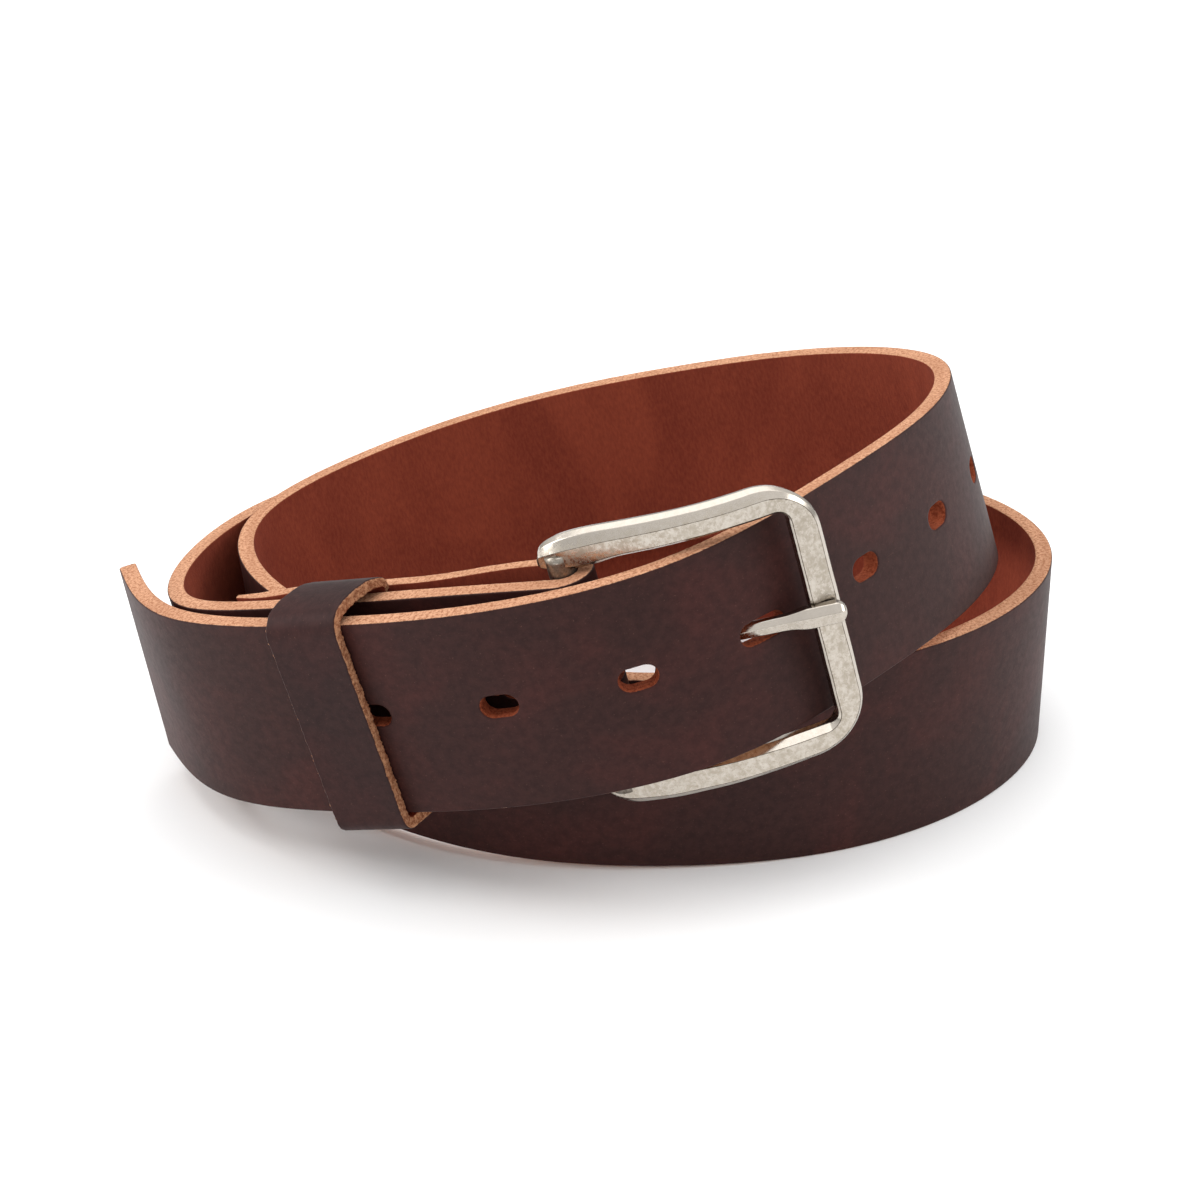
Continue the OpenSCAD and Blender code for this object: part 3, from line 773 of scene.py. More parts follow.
# ---- The strap ---------------------------------------------------------------------------------
@dataclass
class Strap:
    """One ribbon of hide: the flap, the fold round the heel bar, two turns and the tip."""

    cut: Cut
    route: Route
    buckling: Buckling
    slot_w: float = 5.8
    slot_back: float = 13.0
    margin: float = 1.5
    wear_reach: float = 15.0
    drawn: float = 2.4
    leg_play: float = 1.2
    end_gap: float = 0.6
    shank_r: float = 1.4
    row_room: float = 8.0
    ripple: float = 0.07
    fray: float = 0.055
    lifts: tuple[float, ...] = (0.0, 1.5, 3.0)

    def thickness(self, s: Array) -> Array:
        """The hide's thickness at places s on the flat strap; the flap's are negative."""
        cut = self.cut
        k = np.clip(1 + s / cut.fold_l, 0, 1)
        t = cut.flap_t + (cut.strap_t - cut.flap_t) * k
        skived = np.clip((cut.flap_l + s + cut.fold_l) / cut.skive_l, 0, 1)
        return np.where(s < -cut.fold_l, cut.skive_t + (cut.flap_t - cut.skive_t) * skived, t)

    def flap_off(self, s: Array) -> Array:
        """Distance between the middles of strap and flap, s along from the heel bar."""
        cut = self.cut
        solid = (cut.strap_t + cut.flap_t) / 2
        at_bar = 2 * cut.fold_in + solid
        at_keeper, at_end = cut.keeper_leg_t + self.leg_play + solid, self.end_gap + solid
        lie = ease((s - cut.rear_screw_s + 8) / 14)
        return at_bar + (at_keeper - at_bar) * ease((s - 6) / 24) + (at_end - at_keeper) * lie

    def bend(self, points: Array) -> Array:
        """World points for rows of place along, place across and height above the middle."""
        cut, bar = self.cut, self.buckling.bar
        s, w, h = points.T
        out = np.empty_like(points)
        zero = np.zeros(len(s))
        main, flap = s >= 0, s <= -cut.fold_l
        fold = ~main & ~flap
        out[main] = self.route.spots(s[main]).place(np.column_stack([zero, -h, w])[main])
        along = -s[flap] - cut.fold_l
        off = self.flap_off(along) + h[flap]
        out[flap] = self.route.spots(along).place(np.column_stack([zero[flap], off, w[flap]]))
        k = 1 + s[fold] / cut.fold_l
        a = np.radians(90 - 180 * k)[:, None]
        r = cut.fold_in + self.thickness(s[fold]) / 2 + h[fold]
        out[fold] = (bar.origin + (bar.x * np.cos(a) + bar.y * np.sin(a)) * r[:, None]
                     + bar.z * w[fold, None])
        return out

    def holes(self) -> list[Hole]:
        """The seven punched holes, the prong's slot and the fasteners' four holes."""
        cut, b = self.cut, self.buckling
        side = cut.holes_each_side
        first = b.cross_s - cut.hole_bear
        made = [Hole(first + k * cut.hole_pitch, cut.hole_rise, cut.hole_l, cut.hole_w)
                for k in range(-side, side + 1) if k]
        made.append(Hole(first + self.drawn / 2, cut.hole_rise, cut.hole_l + self.drawn, cut.hole_w))
        slot_l = cut.fold_l + 2 * self.slot_back + self.slot_w
        made.append(Hole(-cut.fold_l / 2, b.prong_z, slot_l, self.slot_w, 0.3))
        bore = cut.post_d + 2 * cut.run_gap
        for s in (cut.front_screw_s, cut.rear_screw_s):
            made += [Hole(s, 0.0, bore, bore, 0.2), Hole(-cut.fold_l - s, 0.0, bore, bore, 0.2)]
        return made

    def prong_wear(self, plan: Array) -> tuple[Array, Array]:
        """How deep the slanted prong has worn into each side of the hide.

        Args:
            plan: places on the flat strap.

        Returns:
            The depths on the grain side and on the flesh side.
        """
        cut, b = self.cut, self.buckling
        top, low = np.zeros(len(plan)), np.zeros(len(plan))
        near = np.nonzero(np.abs(plan[:, 0] - b.cross_s) < self.wear_reach)[0]
        spots = self.route.spots(plan[near, 0])
        r = self.shank_r + cut.soft_gap
        for lift in self.lifts:
            prong = b.bar.turned(b.prong_turn - math.radians(lift), b.prong_z)
            lean = (spots.x * prong.x).sum(1)
            reach = ((spots.origin - prong.origin) * spots.x).sum(1) / lean
            at = spots.local(prong.origin + prong.x * reach[:, None])
            off = plan[near, 1] - at[:, 2]
            half = np.sqrt(np.maximum(r * r - off * off, 0)) / np.abs(lean)
            inside = np.abs(off) < r
            half_t = cut.strap_t / 2
            if lift == 0:
                cut_in = np.where(inside & (-at[:, 1] > 0), half_t - (-at[:, 1] - half), 0)
                top[near] = np.maximum(top[near], np.clip(cut_in, 0, cut.strap_t - 0.4))
            cut_in = np.where(inside & (-at[:, 1] < 0), half_t + (-at[:, 1] + half), 0)
            low[near] = np.maximum(low[near], np.clip(cut_in, 0, cut.strap_t - 0.4))
        return top, low

    def build(self, finish: LeatherFinish) -> bpy.types.Object:
        """The strap as one object, riding on the belt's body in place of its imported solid."""
        cut, b, end = self.cut, self.buckling, self.route.length
        half, first = cut.strap_w / 2, -cut.fold_l - cut.flap_l
        row_half = cut.holes_each_side * cut.hole_pitch + self.row_room
        row, row_end = b.cross_s - row_half, b.cross_s + row_half
        s_lines = spread((first, 0.1), (first + 0.4, 0.5), (first + 1.5, 1.6), (-cut.fold_l - 17, 0.8),
                         (-cut.fold_l, 0.55), (0, 0.8), (17, 1.9), (row, 1.0),
                         (b.cross_s - 14, 0.6), (b.cross_s + 14, 1.0), (row_end, 1.7),
                         (end - 1.5, 0.5), (end - 0.4, 0.1), (end, 0))
        w_lines = spread((-half, 0.09), (0.36 - half, 0.36), (1.1 - half, 1.6), (-4, 0.6),
                         (6, 1.6), (half - 1.1, 0.36), (half - 0.36, 0.09), (half, 0))
        sheet = HideSheet(s_lines, w_lines, self.holes(), self.margin)
        top, low = self.prong_wear(sheet.plan)
        press = np.zeros(len(sheet.plan))
        for s in (cut.front_screw_s, cut.rear_screw_s, -cut.fold_l - cut.front_screw_s,
                  -cut.fold_l - cut.rear_screw_s):
            far = np.hypot(sheet.plan[:, 0] - s, sheet.plan[:, 1])
            press = np.maximum(press, cut.head_sink * (1 - ease((far - cut.head_d / 2 - 0.1) / 1.1)))
        shell = sheet.thicken(self.thickness(sheet.plan[:, 0]), top, low, press)
        flat = shell.points.copy()
        sides = np.column_stack([flat[:, 0], np.sign(flat[:, 1]) * 50, 0 * flat[:, 0]])
        flat[:, 1] += self.ripple * Ripple(11, 90.0).at(sides) * (flat[:, 1] / half)
        shell.points = self.bend(flat)
        raw = ease((shell.values["hide"][:, 2] - 0.2) / 0.3)
        raw *= ease((shell.values["flesh"] - 0.1) / 0.3)
        # Where the holes' walls get painted shade: points within about 1.2 mm of a hole
        near = np.min([hole.distance(flat) for hole in self.holes()], axis=0)
        shell.values["bore"] = ease((1.2 - near) / 0.4)
        jitter = np.random.default_rng(5).normal(0, self.fray, shell.points.shape)
        shell.points += jitter * raw[:, None]
        made = shell.object("strap_leather_ribbon", finish.make())
        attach(made, "belt")
        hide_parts("strap")
        return made


# ---- The keeper --------------------------------------------------------------------------------
@dataclass
class Keeper:
    """A loop of hide round the strap and the tip, closed by a wire staple on its inner leg."""

    cut: Cut
    route: Route
    travel: float = 3.0
    play: float = 1.0
    leg_gap: float = 0.75
    bend_r: float = 1.1
    front_r: float = 1.8
    arch: float = 1.1
    skew: float = 3.4
    skew_least: float = 0.4
    leg_half: float = 16.0
    leg_fade: float = 5.0
    tear: float = 0.09
    fine_tear: float = 0.05
    join_z: float = 2.0
    join_gap: float = 0.15
    skive_before: float = 1.2
    skive_over: float = 6.0
    fray: float = 0.085
    staple_l: float = 8.0
    wire_d: float = 0.6

    def __post_init__(self) -> None:
        """Finds the loop's inner size from where the tip passes."""
        cut = self.cut
        self.spot = self.route.spots(cut.keeper_s)
        u = self.route.TIP_FROM + 3.5 + np.arange(30, -1, -1) / 10
        tip = self.spot.local(self.route.spots_u(u).origin)
        reach = cut.keeper_w / 2 + self.travel
        tip_y = min(float(np.interp(x, tip[:, 0], tip[:, 1])) for x in (-reach, 0.0, reach))
        tip_z = [float(np.interp(x, tip[:, 0], tip[:, 2])) for x in (-reach, reach)]
        self.front = tip_y - cut.strap_t / 2 - cut.soft_gap
        self.back = cut.strap_t / 2 + self.leg_gap
        self.low = min(0.0, *tip_z) - cut.strap_w / 2 - self.play
        self.high = max(0.0, *tip_z) + cut.strap_w / 2 + 2 * cut.soft_gap

    def loop(self) -> tuple[Array, Array, Array]:
        """The inner line of the loop.

        Returns:
            Rows of y and z, the outward directions, and lengths from the join to each row.
        """
        corners = [(self.back, self.high, 0.0, self.bend_r), (self.front, self.high, 90.0, self.front_r),
                   (self.front, self.low, 180.0, self.bend_r), (self.back, self.low, 270.0, self.bend_r)]
        rows, outs = [(self.back, self.join_z)], [(1.0, 0.0)]
        for y, z, start, r in corners:
            mid_y = y - r if y == self.back else y + r
            mid_z = z - r if z == self.high else z + r
            for k in range(7):
                a = math.radians(start + 15 * k)
                rows.append((mid_y + r * math.cos(a), mid_z + r * math.sin(a)))
                outs.append((math.cos(a), math.sin(a)))
        rows.append((self.back, self.join_z - self.join_gap))
        outs.append((1.0, 0.0))
        line, out = np.array(rows), np.array(outs)
        s = np.concatenate([[0.0], np.cumsum(np.linalg.norm(np.diff(line, axis=0), axis=1))])
        return line, out, s

    def build(self, finish: LeatherFinish) -> bpy.types.Object:
        """The loop as one object, riding on its own body."""
        cut = self.cut
        line, out, lengths = self.loop()
        # Stretch the corners' share of the hide, so that the outer side isn't pinched there
        turns = np.arccos(np.clip((out[1:] * out[:-1]).sum(1), -1, 1))
        turn = np.concatenate([[0.0], np.cumsum(turns)])
        lengths = lengths + turn * cut.keeper_t / 2
        end = float(lengths[-1])
        half = cut.keeper_w / 2
        s_lines = spread((0, 0.1), (0.4, 0.3), (end - 0.4, 0.1), (end, 0))
        w_lines = spread((-half, 0.08), (0.4 - half, 0.3), (1.0 - half, 0.8), (half - 1.0, 0.3),
                         (half - 0.4, 0.08), (half, 0))
        sheet = HideSheet(s_lines, w_lines, (), 0.5)
        s = sheet.plan[:, 0]
        past_leg = np.minimum(s - (self.high - self.join_z), end - s - (self.join_z - self.low))
        thin = 1 - ease((past_leg + self.skive_before) / self.skive_over)
        thick = cut.keeper_t + (cut.keeper_leg_t - cut.keeper_t) * thin
        nothing = np.zeros(len(s))
        shell = sheet.thicken(thick, nothing, nothing, nothing)
        flat = shell.points
        at_edge = np.sign(flat[:, 1]) * ease((np.abs(flat[:, 1]) - half + 1.5) / 1.5)
        tear = self.tear * Ripple(23, 9.0).at(flat * [1, 4, 0])
        tear += self.fine_tear * Ripple(29, 2.0).at(flat * [1, 4, 1])
        across = flat[:, 1] + tear * at_edge
        thick_all = shell.values["hide"][:, 2] + shell.values["flesh"]
        height = flat[:, 2] + thick_all / 2
        y, z = (np.interp(flat[:, 0], lengths, line[:, k]) for k in (0, 1))
        oy, oz = (np.interp(flat[:, 0], lengths, out[:, k]) for k in (0, 1))
        scale = np.hypot(oy, oz)
        deep = self.back - self.front
        lift = self.arch * np.clip(1 - ((y - self.front - deep / 2) / (deep / 2)) ** 2, 0, 1) * (z > 0)
        lean = self.lean(y, z)
        local = np.column_stack([across + lean, y + oy / scale * height,
                                 z + lift + oz / scale * height])
        shell.points = self.spot.place(local)
        raw = ease((shell.values["hide"][:, 2] - 0.1) / 0.2)
        raw *= ease((np.abs(flat[:, 1]) - half + 0.3) / 0.3)
        jitter = np.random.default_rng(8).normal(0, self.fray, shell.points.shape)
        shell.points += jitter * raw[:, None]
        made = shell.object("keeper_loop", finish.make())
        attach(made, "loop")
        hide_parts("keeper")
        return made

    def lean(self, y: Array, z: Array) -> Array:
        """How far the loop leans towards the buckle, less where the inner leg is between hides."""
        back = np.clip((y - self.front) / (self.back - self.front), 0, 1)
        free = ease((np.abs(z) - self.leg_half) / self.leg_fade)
        return self.skew * back * (self.skew_least + (1 - self.skew_least) * free)

    def build_staple(self, finish: "MetalFinish") -> bpy.types.Object:
        """The bent wire, with its crown on the flap's side of the inner leg."""
        r, half = self.wire_d / 2, self.staple_l / 2 - self.wire_d / 2
        crown = self.back + self.cut.keeper_leg_t - r
        foot = self.back + 0.2 + r * 0.5
        bend, path = 0.45, [(foot, -half)]
        for k in range(7):
            a = math.radians(15 * k)
            path.append((crown - bend + bend * math.sin(a), -half + bend - bend * math.cos(a)))
        path += [(y, -z) for y, z in path[::-1]]
        middle = np.array([(float(self.lean(np.array(y), np.array(z))), y, z) for y, z in path])
        shell = tube(middle, np.full(len(middle), r), 12)
        shell.points = self.spot.place(shell.points)
        made = shell.object("keeper_staple_wire", finish.make())
        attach(made, "loop")
        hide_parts("keeper_staple")
        return made


def tube(path: Array, radii: Array, sides: int) -> Shell:
    """A round wire along a path, closed at both ends.

    Args:
        path: rows of the wire's middle, in one plane of constant first coordinate.
        radii: the wire's radius at each row.
        sides: how many sides it has.

    Returns:
        The shell, with plain cast values.
    """
    ahead = unit(np.gradient(path, axis=0))
    across = np.tile([1.0, 0.0, 0.0], (len(path), 1))
    up = np.cross(ahead, across)
    a = np.linspace(0, 2 * math.pi, sides, endpoint=False)
    ring = across[:, None] * np.cos(a)[None, :, None] + up[:, None] * np.sin(a)[None, :, None]
    points = (path[:, None] + ring * radii[:, None, None]).reshape(-1, 3)
    faces = rod_faces(len(path), sides, flip=True)
    return Shell(points, faces, {"cast": np.zeros((len(points), 3))})


# ---- Metal -------------------------------------------------------------------------------------
def rounded_section(corners: Sequence[tuple[float, float, float]], steps: int = 3) -> Array:
    """A closed outline with rounded corners and a support point beside each.

    Args:
        corners: places and the radius at each, in order round the outline.
        steps: segments in each rounded corner.

    Returns:
        Rows of two coordinates and the corner's number where the point is part of one, or -1.
    """
    c = np.array(corners, float)
    rows = []
    for k in range(len(c)):
        at, r = c[k, :2], c[k, 2]
        a, b = unit(c[k - 1, :2] - at), unit(c[(k + 1) % len(c), :2] - at)
        half = math.acos(float(np.clip(a @ b, -1, 1))) / 2
        reach = r / math.tan(half)
        middle = at + unit(a + b) * (r / math.sin(half))
        p, q = at + a * reach - middle, at + b * reach - middle
        rows.append((*(at + a * reach * 1.6), -1))
        for i in range(steps + 1):
            d = unit(p * (1 - i / steps) + q * (i / steps)) * r
            rows.append((*(middle + d), k))
        rows.append((*(at + b * reach * 1.6), -1))
    return np.array(rows)


@dataclass
class Fastener:
    """A post with a wide flat head, or the slotted screw that goes into it."""

    name: str
    s: float
    slotted: bool
    cut: Cut
    strap: Strap
    sides: int = 64
    slot_w: float = 1.0
    slot_d: float = 0.5
    screw_r: float = 1.5
    screw_l: float = 4.0
    bore_end: float = -0.8

    def profile(self) -> list[tuple[float, float]]:
        """Radius and height rows from the middle of the head's face down to the shank's end."""
        cut = self.cut
        r, t = cut.head_d / 2, cut.head_t
        face = [(x, t - 0.04 * (x / r) ** 2) for x in np.arange(0.25, r - 0.5, 0.25)]
        rim = [(r - 0.35 + 0.35 * math.sin(a), t - 0.4 + 0.35 * math.cos(a))
               for a in np.radians([0, 22, 45, 68, 90])]
        shank_r = self.screw_r if self.slotted else cut.post_d / 2
        shank_l = self.screw_l if self.slotted else self.depth - 0.2
        shank = [(r - 0.02, 0.08), (r - 0.12, 0.0), (shank_r + 0.15, 0.0), (shank_r, -0.15)]
        end = [(shank_r, -shank_l + 0.2), (shank_r - 0.15, -shank_l)]
        if not self.slotted:
            bore = self.screw_r + cut.run_gap
            end += [(bore + 0.1, -shank_l), (bore, -shank_l + 0.1), (bore, self.bore_end)]
        return face + rim + shank + end

    @property
    def depth(self) -> float:
        """How far a post goes through the flap, the keeper's space and the strap."""
        cut = self.cut
        flap = float(self.strap.flap_off(np.array(self.s)))
        return flap + (cut.flap_t + cut.strap_t) / 2 - 2 * cut.head_sink

    def build(self, finish: MetalFinish) -> bpy.types.Object:
        """The fastener as one object on the belt's body."""
        cut, rows = self.cut, np.array(self.profile())
        a = np.linspace(0, 2 * math.pi, self.sides, endpoint=False)
        r, h = rows[:, :1], rows[:, 1:]
        x, z = r * np.cos(a), r * np.sin(a)
        h = np.broadcast_to(h, x.shape).copy()
        face = (np.arange(len(rows)) < len(rows) - 6)[:, None] & (h > 0.5 * cut.head_t)
        groove = np.zeros_like(h)
        if self.slotted:
            groove = ease((self.slot_w / 2 + 0.12 - np.abs(z)) / 0.12) * face
            h -= self.slot_d * groove
        # Painted shade in the slot and round the head's rim
        slot_rim_shade = groove * 0.6 + (r > cut.head_d / 2 - 0.15) * 0.25
        points = np.stack([x, h, z], -1).reshape(-1, 3)
        if self.slotted:
            points[:, 1] = cut.head_sink - cut.strap_t / 2 - points[:, 1]
        else:
            flap = float(self.strap.flap_off(np.array(self.s)))
            points[:, 1] += flap + cut.flap_t / 2 - cut.head_sink
        faces = rod_faces(len(rows), self.sides, flip=self.slotted)
        cast = np.column_stack([np.full(len(points), 0.3), slot_rim_shade.ravel(), np.zeros(len(points))])
        shell = Shell(self.strap.route.spots(self.s).place(points), faces, {"cast": cast})
        made = shell.object(self.name + "_turned", finish.make())
        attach(made, "belt")
        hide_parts(self.name)
        return made


@dataclass
class BuckleFrame:
    """The cast U of two tapering arms and the far bar, with the heel bar across its mouth."""

    buckling: Buckling
    tail: float = 3.5
    corner_out: float = 11.0
    corner_in: float = 2.0
    taper_from: float = 30.0
    swell: float = 0.4
    nose_reach: float = 14.0
    nose_reach_low: float = 8.0
    nose_w: float = 1.4
    chin: float = 0.8
    chin_l: float = 3.0
    drift: float = 0.09
    ripple: float = 0.03
    seat_l: float = 7.0
    seat_room: float = 0.04
    seat_flare: float = 0.25
    boss: float = 1.2
    boss_from: float = 2.5
    boss_l: float = 8.0
    splay: float = 2.6
    splay_in: float = 0.5

    def stations(self) -> tuple[Array, Array, Array]:
        """The frame's outline as pairs of an inner and an outer point.

        Returns:
            Inner points, outer points, and how far each pair is along its arm: 0 at the tail's
            end, 1 where the corner begins and more beyond.
        """
        b = self.buckling
        open_h = b.cut.strap_w + b.frame_play
        right, inner_right = b.frame_l + b.far_bar_w / 2, b.frame_l - b.far_bar_w / 2
        h_out, h_in = open_h / 2 + b.arm_w, open_h / 2
        out_mid = np.array([right - self.corner_out, h_out - self.corner_out])
        in_mid = np.array([inner_right - self.corner_in, h_in - self.corner_in])
        inner, outer, along, thin = [], [], [], []
        for k in spread((0.0, 0.012), (0.12, 0.02), (1.0, 0)):
            x = -self.tail + k * (out_mid[0] + self.tail)
            xi = -self.tail + k * (in_mid[0] + self.tail)
            slim = -self.swell * (1 - ease((x - 6) / (self.taper_from - 6)))
            drop, blunt = (self.nose(x, reach) for reach in (self.nose_reach, self.nose_reach_low))
            near_end = max(0.0, 1 - (x + self.tail) / self.chin_l)
            chin = self.chin * (1 - math.sqrt(max(0.0, 1 - near_end**2)))
            boss = self.boss * (1 - ease(np.array((x - self.boss_from) / self.boss_l)))
            outer.append((x, h_out - slim - drop))
            inner.append((xi, h_in - float(boss) + chin))
            along.append(k)
            thin.append(slim + drop - blunt)
        for degrees in range(85, 4, -5):
            a = math.radians(degrees)
            turn = np.array([math.cos(a), math.sin(a)])
            outer.append(tuple(out_mid + self.corner_out * turn))
            inner.append(tuple(in_mid + self.corner_in * turn))
            along.append(2.0 - degrees / 90)
            thin.append(0.0)
        for k in spread((0.0, 0.03), (0.8, 0.012), (1.0, 0)):
            outer.append((right, out_mid[1] * (1 - k)))
            inner.append((inner_right, in_mid[1] * (1 - k)))
            along.append(2.0 + k)
            thin.append(0.0)
        top_in, top_out, top_along = (np.array(v) for v in (inner, outer, along))
        low_in, low_out = (v[-2::-1] * [1.0, -1.0] for v in (top_in, top_out))
        low_out[:, 1] -= np.array(thin[-2::-1], dtype=float)
        for low, splay in ((low_in, self.splay_in), (low_out, self.splay)):
            low[:, 1] -= splay * np.clip(1 - (low[:, 0] + self.tail) / (right + self.tail - 8), 0, 1)
        return (np.vstack([top_in, low_in]), np.vstack([top_out, low_out]),
                np.concatenate([top_along, -top_along[-2::-1]]))

    def nose(self, x: float, reach: float) -> float:
        """How far an arm's outer side falls towards its rounded tail over a reach, at x."""
        past = max(0.0, 1 - (x + self.tail) / reach)
        return (self.buckling.arm_w - self.nose_w) * (1 - math.sqrt(max(0.0, 1 - past**2.6)))

    def section(self, w: float, t: float, inner_cut: float, outer_cut: float) -> Array:
        """The cast section: a flat face with a ridge and a bevel on each side of it.

        Args:
            w: width from the inner to the outer side.
            t: thickness from front to back.
            inner_cut: width of the bevel on the inner side.
            outer_cut: width of the bevel on the outer side.

        Returns:
            What rounded_section() gives, with the front at minus half of t.
        """
        f, back, k = -t / 2, t / 2, min(1.0, w / 4.5)
        deep_in, deep_out = min(inner_cut, 1.2), min(outer_cut, 0.48 * t)
        return rounded_section([
            (0.0, f + deep_in * 1.1, 0.30 * k), (inner_cut, f, 0.14 * k),
            (w - outer_cut, f, 0.16 * k), (w - outer_cut * 0.28, f + deep_out * 0.60, 0.5 * k),
            (w, f + deep_out * 1.2, 0.3 * k), (w - 0.15 * k, back - 0.8 * k, 0.3 * k),
            (w - 0.9 * k, back, 0.5 * k), (0.8 * k, back, 0.5 * k), (0.1 * k, back - 0.8 * k, 0.4 * k)])

    def build(self, finish: MetalFinish) -> bpy.types.Object:
        """The frame as one object, riding on its own body."""
        b = self.buckling
        inner, outer, along = self.stations()
        n = len(inner)
        steps = np.linalg.norm(np.diff((inner + outer) / 2, axis=0), axis=1)
        length = np.concatenate([[0.0], np.cumsum(steps)])
        wander = Ripple(41, 34.0)
        rows, cast = [], []
        for k in range(n):
            w = float(np.linalg.norm(outer[k] - inner[k]))
            at = np.array([[length[k], 0, 0]])
            drift = self.drift * float(wander.at(at)[0])
            on_arm = 1 - float(ease(np.array(abs(along[k]) - 1.0)))
            low_arm = on_arm if k > n // 2 else 0.0
            outer_cut = (0.40 * on_arm + 0.20 * (1 - on_arm)) * w - 0.18 * w * low_arm + drift
            inner_cut = (0.07 + 0.03 * on_arm + 0.10 * low_arm) * w - drift * 0.5
            x_mid = (inner[k, 0] + outer[k, 0]) / 2
            nose = max(0.0, 1 - (x_mid + self.tail) / 5.0)
            t = b.frame_t * (1 - 0.45 * nose**2)
            ring = self.section(w, t, max(inner_cut, 0.3), min(outer_cut, w * 0.5))
            side = (outer[k] - inner[k]) / w
            flat = inner[k] + side * ring[:, :1]
            x, z = flat[:, 0], flat[:, 1]
            slope = np.arcsin((x - b.frame_l / 2) / b.bow_r)
            rows.append(np.column_stack([x - ring[:, 1] * np.sin(slope),
                                         b.bow(x) + ring[:, 1] * np.cos(slope), z]))
            corner = ring[:, 2]
            on_front = (ring[:, 1] < -t / 2 + 0.05) * 1.0
            # Painted shade: dark lines along both edges of the front face, more at the lower corner, and
            # along the inner side
            ridge = np.isin(corner, (1, 2)) * 0.78
            corner_ridge_shade = (corner == 1) * (k > n // 2) * (abs(abs(along[k]) - 1.5) < 0.4) * 0.35
            ridge = ridge + corner_ridge_shade
            ridge += (np.abs(ring[:, 1] - t * 0.15) < t * 0.3) * (ring[:, 0] < w * 0.2) * 0.2
            cast.append(np.column_stack([on_front, ridge, on_front * 0]))
        points, values = np.vstack(rows), np.vstack(cast)
        points += self.ripple * Ripple(43, 12.0).at(points)[:, None] * [0.4, 1.0, 0.4]
        faces = rod_faces(n, len(rows[0]), flip=True)
        world, seat = self.seat(b.frame_spot.place(points))
        values[:, 1] = np.maximum(values[:, 1], seat)
        arms = Shell(world, faces, {"cast": values})
        made = join(arms, self.heel_bar()).object("buckle_frame_cast", finish.make())
        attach(made, "frame")
        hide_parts("buckle_frame")
        return made

    def seat(self, world: Array) -> tuple[Array, Array]:
        """Presses the prong's seat into the far bar.

        Args:
            world: the frame's points.

        Returns:
            The points with the seat, and how much painted shade its corners get.
        """
        b = self.buckling
        p = b.prong_spot.local(world)
        deep = b.head_d / 2 + b.cut.run_gap + self.seat_room
        wide = deep + self.seat_flare
        by_bar = p[:, 0] > b.frame_l - self.seat_l
        on_bar = by_bar & (np.abs(p[:, 2]) < wide)
        floor = deep * np.sqrt(np.maximum(1 - (p[:, 2] / wide) ** 2, 0))
        pressed = on_bar & (p[:, 1] < floor) & (p[:, 1] > -deep - 1)
        p[pressed, 1] = floor[pressed]
        # Painted shade along the seat's two sides
        near = by_bar & (np.abs(np.abs(p[:, 2]) - wide) < 0.35) & (p[:, 1] < deep)
        return b.prong_spot.place(p), near * 0.55

    def heel_bar(self) -> Shell:
        """The round bar that the fold and the prong's ring turn on."""
        b = self.buckling
        half = (b.cut.strap_w + b.frame_play) / 2 + 1.6
        z = spread((-half - self.splay, 1.2), (half, 0))
        r = b.cut.bar_d / 2
        a = np.linspace(0, 2 * math.pi, 40, endpoint=False)
        points = np.array([(r * math.cos(t), r * math.sin(t), at) for at in z for t in a])
        # Painted shade: a high groove value darkens the whole bar
        values = np.tile([0.5, 0.62, 0.0], (len(points), 1))
        return Shell(b.frame_spot.place(points), rod_faces(len(z), len(a)), {"cast": values})


